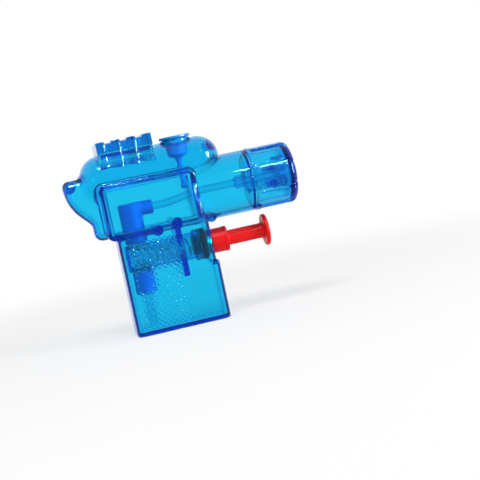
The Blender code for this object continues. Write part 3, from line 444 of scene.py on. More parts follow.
def slope(form, points, reach):
    """The direction in which the distance grows, at each point."""
    steps = []
    for axis in range(3):
        shift = np.zeros(3)
        shift[axis] = reach
        ahead = form(*(points + shift).T)
        behind = form(*(points - shift).T)
        steps.append((ahead - behind) / (2 * reach))
    return np.stack(steps, axis=1)


def crossing_points(grid, cells):
    """The middle of the places where a cell's edges cross the surface, in cells."""
    total = np.zeros((len(cells), 3))
    count = np.zeros((len(cells), 1))
    for axis in range(3):
        for side in range(4):
            start = np.zeros(3, int)
            start[(axis + 1) % 3], start[(axis + 2) % 3] = side % 2, side // 2
            end = start.copy()
            end[axis] = 1
            before = grid[tuple((cells + start).T)]
            after = grid[tuple((cells + end).T)]
            crosses = ((before < 0) != (after < 0))[:, None]
            part = (before / np.where(before == after, 1, before - after))[:, None]
            total += np.where(crosses, start + (end - start) * part, 0)
            count += crosses
    return cells + total / count


def skin_of(form, low, high, step):
    """Points, quads and normals of the surface where the distance is nought."""
    low = np.array(low, float)
    sides = [np.arange(start, stop + step, step) for start, stop in zip(low, high)]
    grid = form(sides[0][:, None, None], sides[1][None, :, None], sides[2][None, None, :])
    inside = grid < 0
    corners = sum(
        inside[i : i - 1 or None, j : j - 1 or None, k : k - 1 or None].astype(np.int8)
        for i in (0, 1)
        for j in (0, 1)
        for k in (0, 1)
    )
    cells = np.argwhere((corners > 0) & (corners < 8))
    number = np.full(corners.shape, -1)
    number[tuple(cells.T)] = np.arange(len(cells))
    points = low + crossing_points(grid, cells) * step
    for _ in range(SETTLE_STEPS):
        lean = slope(form, points, POINT_REACH)
        push = form(*points.T)[:, None] * lean / np.maximum((lean**2).sum(axis=1, keepdims=True), 0.25)
        points = points - np.clip(push, -SETTLE_LIMIT * step, SETTLE_LIMIT * step)
    quads = []
    for axis in range(3):
        first, second = (axis + 1) % 3, (axis + 2) % 3
        behind = np.moveaxis(inside, axis, 0)
        flips = np.argwhere(behind[1:] != behind[:-1])
        places = np.empty((len(flips), 3), int)
        others = [other for other in range(3) if other != axis]
        places[:, axis], places[:, others[0]], places[:, others[1]] = flips.T
        around = []
        for shift_first, shift_second in ((0, 0), (-1, 0), (-1, -1), (0, -1)):
            cell = places.copy()
            cell[:, first] += shift_first
            cell[:, second] += shift_second
            around.append(number[tuple(cell.T)])
        quad = np.stack(around, axis=1)
        outward = inside[tuple(places.T)]
        quad[~outward] = quad[~outward][:, ::-1]
        quads.append(quad)
    return points, np.concatenate(quads), slope(form, points, NORMAL_REACH)


print("mesher ready")

# %% Making a piece
MARGIN = 0.9


def piece(node, points, faces, look, body, normals=None):
    """A mesh that stands for one solid, rides its body and wears a finish."""
    mesh = bpy.data.meshes.new(node + "_skin")
    corners = [[int(corner) for corner in face] for face in faces]
    mesh.from_pydata((np.asarray(points) * MM).tolist(), [], corners)
    mesh.validate()
    mesh.materials.append(look)
    mesh.polygons.foreach_set("use_smooth", [True] * len(mesh.polygons))
    if normals is not None:
        length = np.maximum(np.linalg.norm(normals, axis=1, keepdims=True), 1e-9)
        mesh.normals_split_custom_set_from_vertices((normals / length).tolist())
    made = bpy.data.objects.new(node + "_skin", mesh)
    scene.collection.objects.link(made)
    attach(made, body)
    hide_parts(node)
    print(node, len(mesh.vertices), "points")
    return made


def moulding(node, form, step, look, body):
    """A piece meshed from its distance, in the room around its solid."""
    low, high = span(node)
    points, quads, normals = skin_of(form, low - MARGIN, high + MARGIN, step)
    return piece(node, points, quads, look, body, normals)


print("room around a solid", MARGIN, "mm")

# %% [markdown]
# ## The casing
#
# Two mirrored mouldings hold everything: a round-ended tank on top, a raised slab on each side, a barrel
# with a threaded neck, a grip, and a tail that ends in a spur. They meet at a seam down the middle, where
# short pins sit in sockets. One formula gives the outside. The same forms, moved in by the wall, give the
# hollow, so the walls are even, as in a real moulding. Only the slab is softer inside than outside, so it
# is thicker along its edges, which draws the dark frame around it.

# %% Places that the casing shares with other pieces
shell_low, shell_high = span("right_shell")
cap_low, cap_high = span("nozzle_cap")
plug_low, plug_high = span("filler_plug")
riser_low, riser_high = span("riser_elbow")
collar_low, collar_high = span("pump_collar")
cylinder_low, cylinder_high = span("pump_cylinder")
rail_low, rail_high = span("top_rail")

WALL = 1.5
GAP = 0.3
BARREL_Z = (cap_low[2] + cap_high[2]) / 2
CAP_RADIUS = (cap_high[1] - cap_low[1]) / 2
BARREL_RADIUS = CAP_RADIUS - 0.2
TRIGGER_Z = (collar_low[2] + collar_high[2]) / 2
PLUG_X = (plug_low[0] + plug_high[0]) / 2
RISER_RADIUS = (riser_high[1] - riser_low[1]) / 2
RISER_X = riser_low[0] + RISER_RADIUS
CYLINDER_RADIUS = 5.15
SOLID_SEAM = 0.15
print("barrel axis", round(BARREL_Z, 2), "mm, trigger axis", round(TRIGGER_Z, 2), "mm")

# %% Tank, slab and grip
TANK_RADIUS = 8.0
TANK_HALF_WIDTH = 10.5
TANK_DEPTH = 10.0
TANK_Z = BARREL_Z + 12.6
TANK_REAR_X = -36.4
TANK_FRONT_X = 16.8
SLAB_LOW = (-31.3, BARREL_Z - 11.6)
SLAB_HIGH = (5.2, BARREL_Z + 9.6)
SLAB_CORNER = 2.6
SLAB_HALF_WIDTH = shell_high[1] - shell_low[1] + SOLID_SEAM
SLAB_EDGE = 1.2
SLAB_INSIDE_EDGE = 3.2
GRIP_REAR_X = -28.0
GRIP_FRONT_X = 7.1
GRIP_STEP = 1.0
GRIP_LEDGE_Z = TRIGGER_Z - 6.6
GRIP_TOP_Z = BARREL_Z - 8.0
GRIP_HALF_WIDTH = 8.75
GRIP_CORNER = 3.0
GRIP_EDGE = 0.8


def tank(x, y, z, grow=0.0):
    """A capsule, wider than it is high, and deeper below its middle than above."""
    radius = TANK_RADIUS + grow
    along = x - np.clip(x, TANK_REAR_X + TANK_RADIUS, TANK_FRONT_X - TANK_RADIUS)
    across = y * radius / (TANK_HALF_WIDTH + grow)
    rise = z - TANK_Z
    rise = np.where(rise < 0, rise * radius / (TANK_DEPTH + grow), rise)
    return np.sqrt(along**2 + across**2 + rise**2) - radius


def slab(x, y, z, edge):
    """A flat box across the casing that stands out on both sides."""
    face = panel(x, z, SLAB_LOW, SLAB_HIGH, SLAB_CORNER)
    return thicken(face, y, -SLAB_HALF_WIDTH, SLAB_HALF_WIDTH, edge)


def grip(x, y, z):
    """A rounded block with a step below the trigger."""
    rear, front, half = GRIP_REAR_X, GRIP_FRONT_X, GRIP_HALF_WIDTH
    upper = panel(x, y, (rear, -half), (front, half), GRIP_CORNER)
    lower = panel(x, y, (rear, -half), (front + GRIP_STEP, half), GRIP_CORNER)
    tall = thicken(upper, z, 0.0, GRIP_TOP_Z, GRIP_EDGE)
    return np.minimum(tall, thicken(lower, z, 0.0, GRIP_LEDGE_Z, GRIP_EDGE))


print("tank", TANK_FRONT_X - TANK_REAR_X, "mm long, slab", 2 * SLAB_HALF_WIDTH, "mm wide")

# %% Tail and spur
SPUR_RADIUS = 2.3
SPUR_TIP = (shell_low[0] + SPUR_RADIUS, BARREL_Z + 11.2)
TAIL_HALF_WIDTH = 6.5
TAIL_EDGE = 3.8
HEEL_RADIUS = 3.0
WAIST = (-35.5, BARREL_Z - 5.5)
SPUR_DROP = 11.1
WAIST_LEAN = (-0.2, 3.4)
TAIL_BOTTOM = BARREL_Z - 10.8
TAIL_INSIDE_X = -24.7


def arc(centre, radius, start, end, steps):
    """Points on a circle between two angles in degrees."""
    angles = np.radians(np.linspace(start, end, steps + 1))
    return [(centre[0] + radius * math.cos(a), centre[1] + radius * math.sin(a)) for a in angles]


def bend(start, near_start, near_end, end, steps):
    """Points on a smooth curve between two places, leaving the first one out."""
    points = []
    for part in np.linspace(0, 1, steps + 1)[1:]:
        weights = ((1 - part) ** 3, 3 * part * (1 - part) ** 2, 3 * part**2 * (1 - part), part**3)
        places = (start, near_start, near_end, end)
        points.append(tuple(sum(w * p[axis] for w, p in zip(weights, places)) for axis in (0, 1)))
    return points


tail_outline = arc(SPUR_TIP, SPUR_RADIUS, 90, 180, 8)
spur_back = tail_outline[-1]
below_spur = (spur_back[0], spur_back[1] - SPUR_DROP)
above_waist = (WAIST[0] + WAIST_LEAN[0], WAIST[1] + WAIST_LEAN[1])
tail_outline += bend(spur_back, below_spur, above_waist, WAIST, 16)
tail_outline += arc((WAIST[0] + HEEL_RADIUS, TAIL_BOTTOM + HEEL_RADIUS), HEEL_RADIUS, 180, 270, 6)
tail_outline += [(TAIL_INSIDE_X, TAIL_BOTTOM), (TAIL_INSIDE_X, SPUR_TIP[1] + SPUR_RADIUS)]


def tail(x, y, z):
    return thicken(polygon(x, z, tail_outline), y, -TAIL_HALF_WIDTH, TAIL_HALF_WIDTH, TAIL_EDGE)


print("tail outline of", len(tail_outline), "points")

# %% Barrel, neck and filler seat
BARREL_FRONT_X = cap_low[0] - 0.5
NECK_RADIUS = 4.9
NECK_FRONT_X = shell_high[0]
FILLER_BORE = 5.1
FILLER_SEAT_RADIUS = 5.6
FILLER_TOP_Z = shell_high[2]
FILLER_SEAT_DEPTH = 5.0
THREAD_HEIGHT = 0.8
THREAD_HALF_WIDTHS = (0.75, 0.4)
THREAD_PITCH = 3.0
THREAD_TURNS = 0.95
CAP_FRONT_WALL = 2.0
HUB_LENGTH = 7.6
HUB_REAR_X = cap_high[0] - CAP_FRONT_WALL - HUB_LENGTH
THREAD_SETBACK = 3.4
THREAD_START_X = HUB_REAR_X + THREAD_SETBACK
THREAD_RUN_OUT = 0.12


def rod(across, beside, along, radius, low, high, edge=0.2):
    """A round bar along one direction, with rounded ends."""
    return thicken(np.hypot(across, beside) - radius, along, low, high, edge)


def helix(x, y, z, start_x, root, tip):
    """A thread ridge that runs out softly at both ends. The tip may lie inside or outside the root."""
    root_half, tip_half = THREAD_HALF_WIDTHS
    reach = np.hypot(y, z - BARREL_Z)
    turn = (np.arctan2(z - BARREL_Z, y) / (2 * math.pi)) % 1.0
    form = np.inf
    for whole in (0.0, 1.0):
        at = turn + whole
        lead = np.clip(np.minimum(at, THREAD_TURNS - at) / THREAD_RUN_OUT, -1, 1)
        height = (reach - root) / (tip - root)
        half = root_half + (tip_half - root_half) * np.clip(height, 0, 1)
        side = np.abs(x - start_x - THREAD_PITCH * at) - half
        crest = (height - np.maximum(lead, 0)) * abs(tip - root) + np.where(lead < 0, 1.0, 0.0)
        form = np.minimum(form, both(side, crest, 0.2))
    return form


def barrel_tube(x, y, z):
    return rod(y, z - BARREL_Z, x, BARREL_RADIUS, SLAB_HIGH[0] - WALL, BARREL_FRONT_X, 0.4)


def neck_with_thread(x, y, z):
    """The stem that the cap screws on."""
    neck = rod(y, z - BARREL_Z, x, NECK_RADIUS, BARREL_FRONT_X - WALL, NECK_FRONT_X, 0.3)
    thread_tip = NECK_RADIUS + THREAD_HEIGHT
    thread = helix(x, y, z, THREAD_START_X, NECK_RADIUS, thread_tip)
    thread = np.maximum(thread, NECK_RADIUS - 0.5 * WALL - np.hypot(y, z - BARREL_Z))
    return join(neck, thread, 0.3)


def filler_seat(x, y, z):
    return rod(x - PLUG_X, y, z, FILLER_SEAT_RADIUS, FILLER_TOP_Z - FILLER_SEAT_DEPTH, FILLER_TOP_Z, 0.4)


print("barrel", round(BARREL_FRONT_X - SLAB_HIGH[0], 1), "mm long")

# %% [markdown]
# The grip's flat sides carry a fine diamond pattern so that it doesn't slip when wet. It could be a bump
# in the finish, but then the outline stays flat and the clear wall would not bend the light. Raising the
# outer distance by a product of two waves makes real studs, while the inside of the wall stays smooth.
#
# Where the tank's dome and the slab meet the barrel, the real moulding has a narrow crease that shows as
# a dark line. Painting it would work from one side only. Here a thin string along the line where two
# distances are both nought is cut away. Two short posts cross the neck and show as dots in the cap.

# %% Outside and hollow
STUD_PITCH = 1.5
STUD_HEIGHT = 0.32
STUD_LOW = (-24.7, 3.0)
STUD_HIGH = (-6.3, 35.0)
STUD_CORNER = 2.0
STUD_FACE = 1.5
SEAM_CORNER = 0.8
TAIL_BLEND = 2.5
SLAB_BLEND = 0.25
LUG = (8.9, BARREL_Z - BARREL_RADIUS + 1.2)
LUG_RADIUS = 2.0
LUG_REACH = 4.0
CREASE_DEPTH = 0.5
CREASE_FROM_X = SLAB_HIGH[0] + 1
BORDER_FROM_X = SLAB_HIGH[0] - 1.5
POST_X = 34.9
POST_RADIUS = 1.55
POST_SPREAD = 3.3
POST_REACH = 6.2
posts = [(POST_X, BARREL_Z + side) for side in (POST_SPREAD, -POST_SPREAD)]


def studs(x, y, z):
    """The height of the diamond pattern on the grip's sides."""
    rising = np.sin(math.pi * (x + z) / (STUD_PITCH * math.sqrt(2))) ** 2
    falling = np.sin(math.pi * (x - z) / (STUD_PITCH * math.sqrt(2))) ** 2
    field = np.clip(0.5 - panel(x, z, STUD_LOW, STUD_HIGH, STUD_CORNER), 0, 1)
    face = np.clip(np.abs(y) - GRIP_HALF_WIDTH + STUD_FACE, 0, 1)
    return STUD_HEIGHT * rising * falling * field * face


def casing_outside(x, y, z):
    """The outside, and the same with a softer slab, from which the hollow is made."""
    round_tank, tube = tank(x, y, z), barrel_tube(x, y, z)
    form = join(round_tank, grip(x, y, z), SEAM_CORNER)
    form = join(form, tail(x, y, z), TAIL_BLEND)
    form = join(form, tube, 0.3)
    form = join(form, neck_with_thread(x, y, z), 0.3)
    form = join(form, rod(x - LUG[0], z - LUG[1], y, LUG_RADIUS, -LUG_REACH, LUG_REACH, 0.3), 0.4)
    form = join(form, filler_seat(x, y, z), 0.4)
    for post_x, post_z in posts:
        form = np.minimum(form, rod(x - post_x, z - post_z, y, POST_RADIUS, -POST_REACH, POST_REACH))
    crease = np.maximum(np.hypot(round_tank, tube) - CREASE_DEPTH, CREASE_FROM_X - x)
    flat = slab(x, y, z, SLAB_EDGE)
    border = np.maximum(np.hypot(tube, flat) - CREASE_DEPTH, BORDER_FROM_X - x)
    outside = cut(join(cut(form, crease, 0.15), flat, SLAB_BLEND), border, 0.1)
    return outside, join(form, slab(x, y, z, SLAB_INSIDE_EDGE), SEAM_CORNER)


print("studs every", STUD_PITCH, "mm")

# %% Ribs, bosses and holes
BOSS_RADIUS = 1.8
FLOOR_RIB_Z = BARREL_Z - 11.2
FLOOR_RIB_REACH = 9.1
FLOOR_RIB_HALF = 0.75
FRONT_RIB_X = -5.1
FRONT_RIB_HALF = 1.0
FRONT_RIB_LOW_Z = BARREL_Z - 30.0
FRONT_RIB_HIGH_Z = BARREL_Z - 9.8
PIN_RADIUS = 0.7
PIN_REACH = 2.2
NECK_WALL = 0.9
RAIL_WALL = 1.2
RAIL_END_WALL = 0.6
RAIL_SEAT_DEPTH = 1.9
FRONT_WALL = 0.7
COLLAR_WAY = 5.0

bosses = {
    "spur": (SPUR_TIP[0] + 0.4, SPUR_TIP[1] - 0.4),
    "rail": (-13.8, TANK_Z + 5.3),
    "dome": (TANK_FRONT_X - 3.1, TANK_Z + 3.2),
    "belly": LUG,
    "floor_rear": (RISER_X - 7.3, FLOOR_RIB_Z),
    "floor_front": (RISER_X + 8.2, FLOOR_RIB_Z),
    "front_rib": (FRONT_RIB_X, FRONT_RIB_HIGH_Z),
}


def ribs(x, y, z):
    """Everything that stands inside the hollow and reaches across it."""
    floor_low = (RISER_X - FLOOR_RIB_REACH, FLOOR_RIB_Z - FLOOR_RIB_HALF)
    floor_high = (RISER_X + FLOOR_RIB_REACH, FLOOR_RIB_Z + FLOOR_RIB_HALF)
    floor_rib = panel(x, z, floor_low, floor_high, 0.2)
    floor_rib = cut(floor_rib + 0 * y, np.hypot(x - RISER_X, y) - RISER_RADIUS - GAP, 0.2)
    front_low = (FRONT_RIB_X - FRONT_RIB_HALF, FRONT_RIB_LOW_Z)
    front_high = (FRONT_RIB_X + FRONT_RIB_HALF, FRONT_RIB_HIGH_Z)
    front_rib = panel(x, z, front_low, front_high, 0.2)
    front_rib = cut(front_rib + 0 * y, np.hypot(y, z - TRIGGER_Z) - CYLINDER_RADIUS - GAP, 0.2)
    form = np.minimum(floor_rib, front_rib)
    for radius, places in ((BOSS_RADIUS, bosses.values()), (POST_RADIUS, posts)):
        for boss_x, boss_z in places:
            form = join(form, np.hypot(x - boss_x, z - boss_z) - radius, 0.4)
    return form


def rail_seat(x, y, z):
    """A level plate on the tank's crown, hidden under the rail, that shows as a dark band."""
    crown = TANK_Z + TANK_RADIUS
    low = (rail_low[0] + RAIL_END_WALL + GAP, crown - RAIL_SEAT_DEPTH)
    high = (rail_high[0] - RAIL_END_WALL - GAP, crown)
    reach = rail_high[1] - RAIL_WALL - GAP
    return thicken(panel(x, z, low, high, 0.2), y, -reach, reach, 0.2)


def casing(x, y, z):
    """The whole hollow casing before it is split."""
    outside, softer = casing_outside(x, y, z)
    outside = np.minimum(outside, rail_seat(x, y, z))
    reach = np.hypot(y, z - BARREL_Z)
    neck_bore = rod(y, z - BARREL_Z, x, NECK_RADIUS - NECK_WALL, BARREL_FRONT_X - 3, NECK_FRONT_X + 3)
    room_front_x = BARREL_FRONT_X - FRONT_WALL
    front_room = rod(y, z - BARREL_Z, x, BARREL_RADIUS - WALL, SLAB_HIGH[0], room_front_x, 0.4)
    hollow = np.minimum(softer + WALL, np.maximum(front_room, NECK_RADIUS - reach))
    hollow = join(hollow, neck_bore, 0.3)
    hollow = cut(hollow, ribs(x, y, z), 0.4)
    filler_way = rod(x - PLUG_X, y, z, FILLER_BORE, TANK_Z, FILLER_TOP_Z + WALL)
    collar_way = rod(y, z - TRIGGER_Z, x, COLLAR_WAY, GRIP_FRONT_X - 2 * WALL, GRIP_FRONT_X + 2 * WALL)
    hollow = np.minimum(hollow, np.minimum(filler_way, collar_way))
    return cut(outside - studs(x, y, z), hollow, 0.3)


print("bosses:", ", ".join(bosses))

# %% The two halves
SEAM = 0.05
SHELL_CELL = 0.38


def pins(x, y, z, radius, reach):
    """The seam pins, or their sockets."""
    form = np.inf
    for boss_x, boss_z in bosses.values():
        form = np.minimum(form, rod(x - boss_x, z - boss_z, y, radius, -reach, reach))
    return form


def right_half(x, y, z):
    half = both(casing(x, y, z), y + SEAM, 0.2)
    return cut(half, pins(x, y, z, PIN_RADIUS + GAP, PIN_REACH + GAP), 0.15)


def left_half(x, y, z):
    half = both(casing(x, y, z), SEAM - y, 0.2)
    return join(half, pins(x, y, z, PIN_RADIUS, PIN_REACH), 0.15)


moulding("right_shell", right_half, SHELL_CELL, clear_blue, "casing")
moulding("left_shell", left_half, SHELL_CELL, clear_blue, "casing")

# %% [markdown]
# ## The toothed rail
#
# A saddle with four teeth is glued over a level seat on the tank, which shows through it as a dark band.
# It is thick, so its plastic is tinted less than the thin casing. The teeth run down its sides as raised
# panels, whose edges catch the light. It could be an array of blocks, but the saddle has to follow the
# tank's round back, which one cut by the tank's distance does.

# %% Rail
RAIL_TEETH = 4
RAIL_TOOTH = 3.4
RAIL_TOOTH_GAP = 2.4
RAIL_TOOTH_HEIGHT = 0.85
RAIL_SIDE_STEP = 0.6
RAIL_SIDE_BLEND = 1.1
RAIL_CELL = 0.2
rail_pitch = RAIL_TOOTH + RAIL_TOOTH_GAP


def rail(x, y, z):
    half = rail_high[1]
    outline = panel(x, z, rail_low[[0, 2]], rail_high[[0, 2]], 0.3)
    form = thicken(outline, y, -half, half, 0.3)
    for tooth in range(RAIL_TEETH - 1):
        tooth_end = rail_low[0] + tooth * rail_pitch + RAIL_TOOTH
        notch = between(x, tooth_end, tooth_end + RAIL_TOOTH_GAP)
        form = cut(form, np.maximum(notch, half - RAIL_SIDE_STEP - np.abs(y)), RAIL_SIDE_BLEND)
        form = cut(form, np.maximum(notch, rail_high[2] - RAIL_TOOTH_HEIGHT - z), 0.12)
    return cut(cut(form, rail_seat(x, y, z) - GAP, 0.1), tank(x, y, z, GAP), 0.2)


moulding("top_rail", rail, RAIL_CELL, rail_blue, "casing")

# %% [markdown]
# ## The nozzle cap
#
# The cap screws on the neck and holds the nozzle tip. It has a plain rim at the back, eight shallow
# grooves to turn it by and a rounded front. A lathe outline with grooves cut by a loop of Booleans would
# do, but a groove is only a dip in the radius that depends on the angle, so it goes into the formula.

# %% Cap
CAP_GROOVES = 8
CAP_GROOVE_TURN = math.radians(24)
CAP_GROOVE_WIDTH = 1.9
CAP_GROOVE_DEPTH = 0.9
CAP_GROOVE_EDGE = 0.5
CAP_GROOVE_RUN_IN = 0.8
CAP_FRONT_FILL = 1.2
CAP_RIM = 1.5
CAP_RIM_HEIGHT = 0.2
CAP_FRONT_ROUND = 2.6
CAP_BORE = 10.3
HUB_BORE = 6.0
HUB_WALL = 0.8
HUB_SETBACK = 2.7
RIDGE_SETBACK = 1.2
TIP_HOLE = 2.7
CAP_CELL = 0.26


def cap(x, y, z):
    reach = np.hypot(y, z - BARREL_Z)
    angle = np.arctan2(z - BARREL_Z, y)
    pitch = 2 * math.pi / CAP_GROOVES
    aside = np.abs((angle - CAP_GROOVE_TURN + pitch / 2) % pitch - pitch / 2) * CAP_RADIUS
    edge = np.clip(0.5 + (CAP_GROOVE_WIDTH / 2 - aside) / CAP_GROOVE_EDGE, 0, 1)
    dip = CAP_GROOVE_DEPTH * edge * edge * (3 - 2 * edge)
    start = np.clip((x - cap_low[0] - CAP_RIM) / CAP_GROOVE_RUN_IN, 0, 1)
    side = reach - CAP_RADIUS + CAP_RIM_HEIGHT * start + dip * start
    body = both(rounded(side, x - cap_high[0], CAP_FRONT_ROUND), cap_low[0] - x, 0.6)
    inner_x = cap_high[0] - CAP_FRONT_WALL
    bore = rod(y, z - BARREL_Z, x, CAP_BORE, cap_low[0] - 3, inner_x - CAP_FRONT_FILL, 0.5)
    ridge_start = THREAD_START_X + THREAD_PITCH / 2 - RIDGE_SETBACK
    ridge = helix(x, y, z, ridge_start, HUB_BORE + 0.15, NECK_RADIUS + GAP)
    ridge = np.maximum(ridge, reach - HUB_BORE - 0.3)
    hub_rear, hub_front = HUB_REAR_X + HUB_SETBACK, inner_x + CAP_FRONT_WALL / 2
    hub = rod(y, z - BARREL_Z, x, HUB_BORE + HUB_WALL, hub_rear, hub_front, 0.3)
    hub_bore = rod(y, z - BARREL_Z, x, HUB_BORE, HUB_REAR_X - 3, inner_x, 0.2)
    form = cut(join(cut(body, bore, 0.3), hub, 0.5), np.minimum(hub_bore, reach - TIP_HOLE), 0.2)
    return join(form, ridge, 0.2)


moulding("nozzle_cap", cap, CAP_CELL, cap_blue, "screw_cap")

# %% [markdown]
# ## Riser and pump cylinder
#
# Inside the tank a solid blue column carries the water up from the pump, past a check ball, and an arm
# on top takes the tube. The clear cylinder lies across the grip, with a port above and one below. Both
# have holes that cross each other, so they come from distances as well.

# %% Riser with its arm
ARM_Z = BARREL_Z - 2.0
ARM_RADIUS = 2.65
ARM_PASSAGE = 1.1
TUBE_SOCKET = 1.8
SEAT_SOCKET = 3.3
CHAMBER = 2.7
CHAMBER_HEIGHT = 5.1
RISER_ROOF = 2.1
PORT = 1.5
seat_low, seat_high = span("outlet_seat")
tube_low, tube_high = span("nozzle_tube")
RISER_CELL = 0.3


def riser(x, y, z):
    off_x = x - RISER_X
    low, high = riser_low[2], riser_high[2]
    column = rod(off_x, y, z, RISER_RADIUS, low, high, 0.5)
    arm = rod(y, z - ARM_Z, x, ARM_RADIUS, RISER_X, riser_high[0], 0.4)
    form = join(column, arm, 0.8)
    form = cut(form, rod(off_x, y, z, SEAT_SOCKET, low - 2, seat_high[2] + GAP), 0.15)
    form = cut(form, rod(off_x, y, z, CHAMBER, low, seat_high[2] + CHAMBER_HEIGHT), 0.15)
    form = cut(form, rod(off_x, y, z, PORT, low, high - RISER_ROOF), 0.15)
    form = cut(form, rod(y, z - ARM_Z, x, ARM_PASSAGE, RISER_X, riser_high[0] + 2), 0.15)
    return cut(form, rod(y, z - ARM_Z, x, TUBE_SOCKET, tube_low[0] - GAP, riser_high[0] + 2), 0.15)


moulding("riser_elbow", riser, RISER_CELL, mid_blue, "casing")

# %% Pump cylinder
CYLINDER_BORE = 4.05
FLANGE_THICKNESS = 1.4
CYLINDER_CELL = 0.34


def cylinder(x, y, z):
    off_z = z - TRIGGER_Z
    rear, front = cylinder_low[0], cylinder_high[0]
    flange_radius = cylinder_high[1]
    body = rod(y, off_z, x, CYLINDER_RADIUS, rear, front, 0.4)
    body = join(body, rod(y, off_z, x, flange_radius, front - FLANGE_THICKNESS, front, 0.25), 0.4)
    body = cut(body, rod(y, off_z, x, CYLINDER_BORE, rear + WALL, front + 3), 0.2)
    return cut(body, np.hypot(x - RISER_X, y) - PORT, 0.2)


moulding("pump_cylinder", cylinder, CYLINDER_CELL, clear_blue, "casing")

# %% [markdown]
# ## Turned pieces
#
# The plug, the nozzle tip, the collar, the valve bodies and the seals are all round. Each is an outline
# of distance along the axis and radius, spun in fine steps. A Screw modifier would do the same, but a
# real moulding has no knife edges, so here every corner of the outline first becomes a small curve. The
# normals come from that curve, which keeps the flats flat and the edges bright.


# %% Spinning an outline
def soften(outline, radius, closed, steps=4):
    """Round the corners of an outline, and give the outward direction at each point."""
    outline = [np.array(point, float) for point in outline]
    if closed:
        area = sum(a[0] * b[1] - b[0] * a[1] for a, b in zip(outline, outline[1:] + outline[:1]))
        outline = outline[::-1] if area > 0 else outline
    points, outward = [], []
    for i, corner in enumerate(outline):
        before = outline[i - 1] - corner
        after = outline[(i + 1) % len(outline)] - corner
        if not closed and i in (0, len(outline) - 1):
            run = after if i == 0 else -before
            points.append(corner)
            outward.append((-run[1], run[0]))
            continue
        reach = min(radius, 0.48 * np.linalg.norm(before), 0.48 * np.linalg.norm(after))
        start = corner + before / np.linalg.norm(before) * reach
        end = corner + after / np.linalg.norm(after) * reach
        for part in np.linspace(0, 1, steps + 1):
            points.append((1 - part) ** 2 * start + 2 * part * (1 - part) * corner + part**2 * end)
            run = (1 - part) * (corner - start) + part * (end - corner)
            outward.append((-run[1], run[0]))
    outward = np.array(outward)
    return np.array(points), outward / np.linalg.norm(outward, axis=1, keepdims=True)


def wrapped(rows, sides, closed):
    """Quads between rings of points, with end faces unless the last ring meets the first."""
    number = np.arange(rows * sides).reshape(rows, sides)
    after = np.roll(number, -1, axis=1)
    faces = [
        (number[i, j], after[i, j], after[(i + 1) % rows, j], number[(i + 1) % rows, j])
        for i in range(rows if closed else rows - 1)
        for j in range(sides)
    ]
    if not closed:
        faces += [tuple(number[0][::-1]), tuple(number[-1])]
    return faces


def spin(outline, centre, axis, radius, closed, sides):
    """Points, faces and normals of a turned piece about a line along X or Z."""
    line, outward = soften(outline, radius, closed)
    angles = np.arange(sides) * 2 * math.pi / sides
    along, reach = np.broadcast_arrays(line[:, 0, None], line[:, 1, None] + 0 * angles)
    lean_along, lean_out = np.broadcast_arrays(outward[:, 0, None], outward[:, 1, None] + 0 * angles)
    cos, sin = np.cos(angles), np.sin(angles)
    if axis == "x":
        points = np.stack([along, centre[0] + reach * cos, centre[1] + reach * sin], -1)
        normals = np.stack([lean_along, lean_out * cos, lean_out * sin], -1)
    else:
        points = np.stack([centre[0] - reach * sin, centre[1] + reach * cos, along], -1)
        normals = np.stack([-lean_out * sin, lean_out * cos, lean_along], -1)
    return points.reshape(-1, 3), wrapped(len(line), sides, closed), normals.reshape(-1, 3)


def turned(node, outline, centre, axis, look, body, radius=0.25, closed=False, sides=72):
    """A turned piece that stands for one solid."""
    points, faces, normals = spin(outline, centre, axis, radius, closed, sides)
    return piece(node, points, faces, look, body, normals)


print("lathe ready")

# %% Filler plug
PLUG_CUP = 4.8
PLUG_FOOT = 3.8
PLUG_STEM = 1.0
PLUG_BEAD = 1.4
PLUG_FLANGE = 1.0
PLUG_DEPTH = 6.8
PLUG_TAPER = 0.25
PLUG_DISH = 0.5
POINT = 0.02
plug_flange_radius = (plug_high[0] - plug_low[0]) / 2
tail_z, top_z = plug_low[2], plug_high[2]
seat_z = top_z - PLUG_FLANGE
foot_z = seat_z - PLUG_DEPTH
plug_outline = [
    (tail_z, POINT),
    (tail_z, PLUG_STEM),
    (tail_z + 0.5 * PLUG_BEAD, PLUG_BEAD),
    (tail_z + PLUG_BEAD, PLUG_BEAD),
    (tail_z + 1.5 * PLUG_BEAD, PLUG_STEM),
    (foot_z - 2 * PLUG_STEM, PLUG_STEM),
    (foot_z - 0.4 * PLUG_STEM, 1.6 * PLUG_STEM),
    (foot_z, PLUG_FOOT - 0.6),
    (foot_z + 0.7, PLUG_FOOT),
    (seat_z - PLUG_DEPTH / 2, PLUG_FOOT + PLUG_TAPER),
    (seat_z - PLUG_DEPTH / 4, PLUG_CUP - PLUG_TAPER),
    (seat_z, PLUG_CUP),
    (seat_z, plug_flange_radius),
    (top_z, plug_flange_radius),
    (top_z, PLUG_CUP - 0.7),
    (top_z - PLUG_DISH, PLUG_FOOT),
    (top_z - PLUG_DISH, POINT),
]
turned("filler_plug", plug_outline, (PLUG_X, 0), "z", soft_blue, "stopper", radius=0.35)

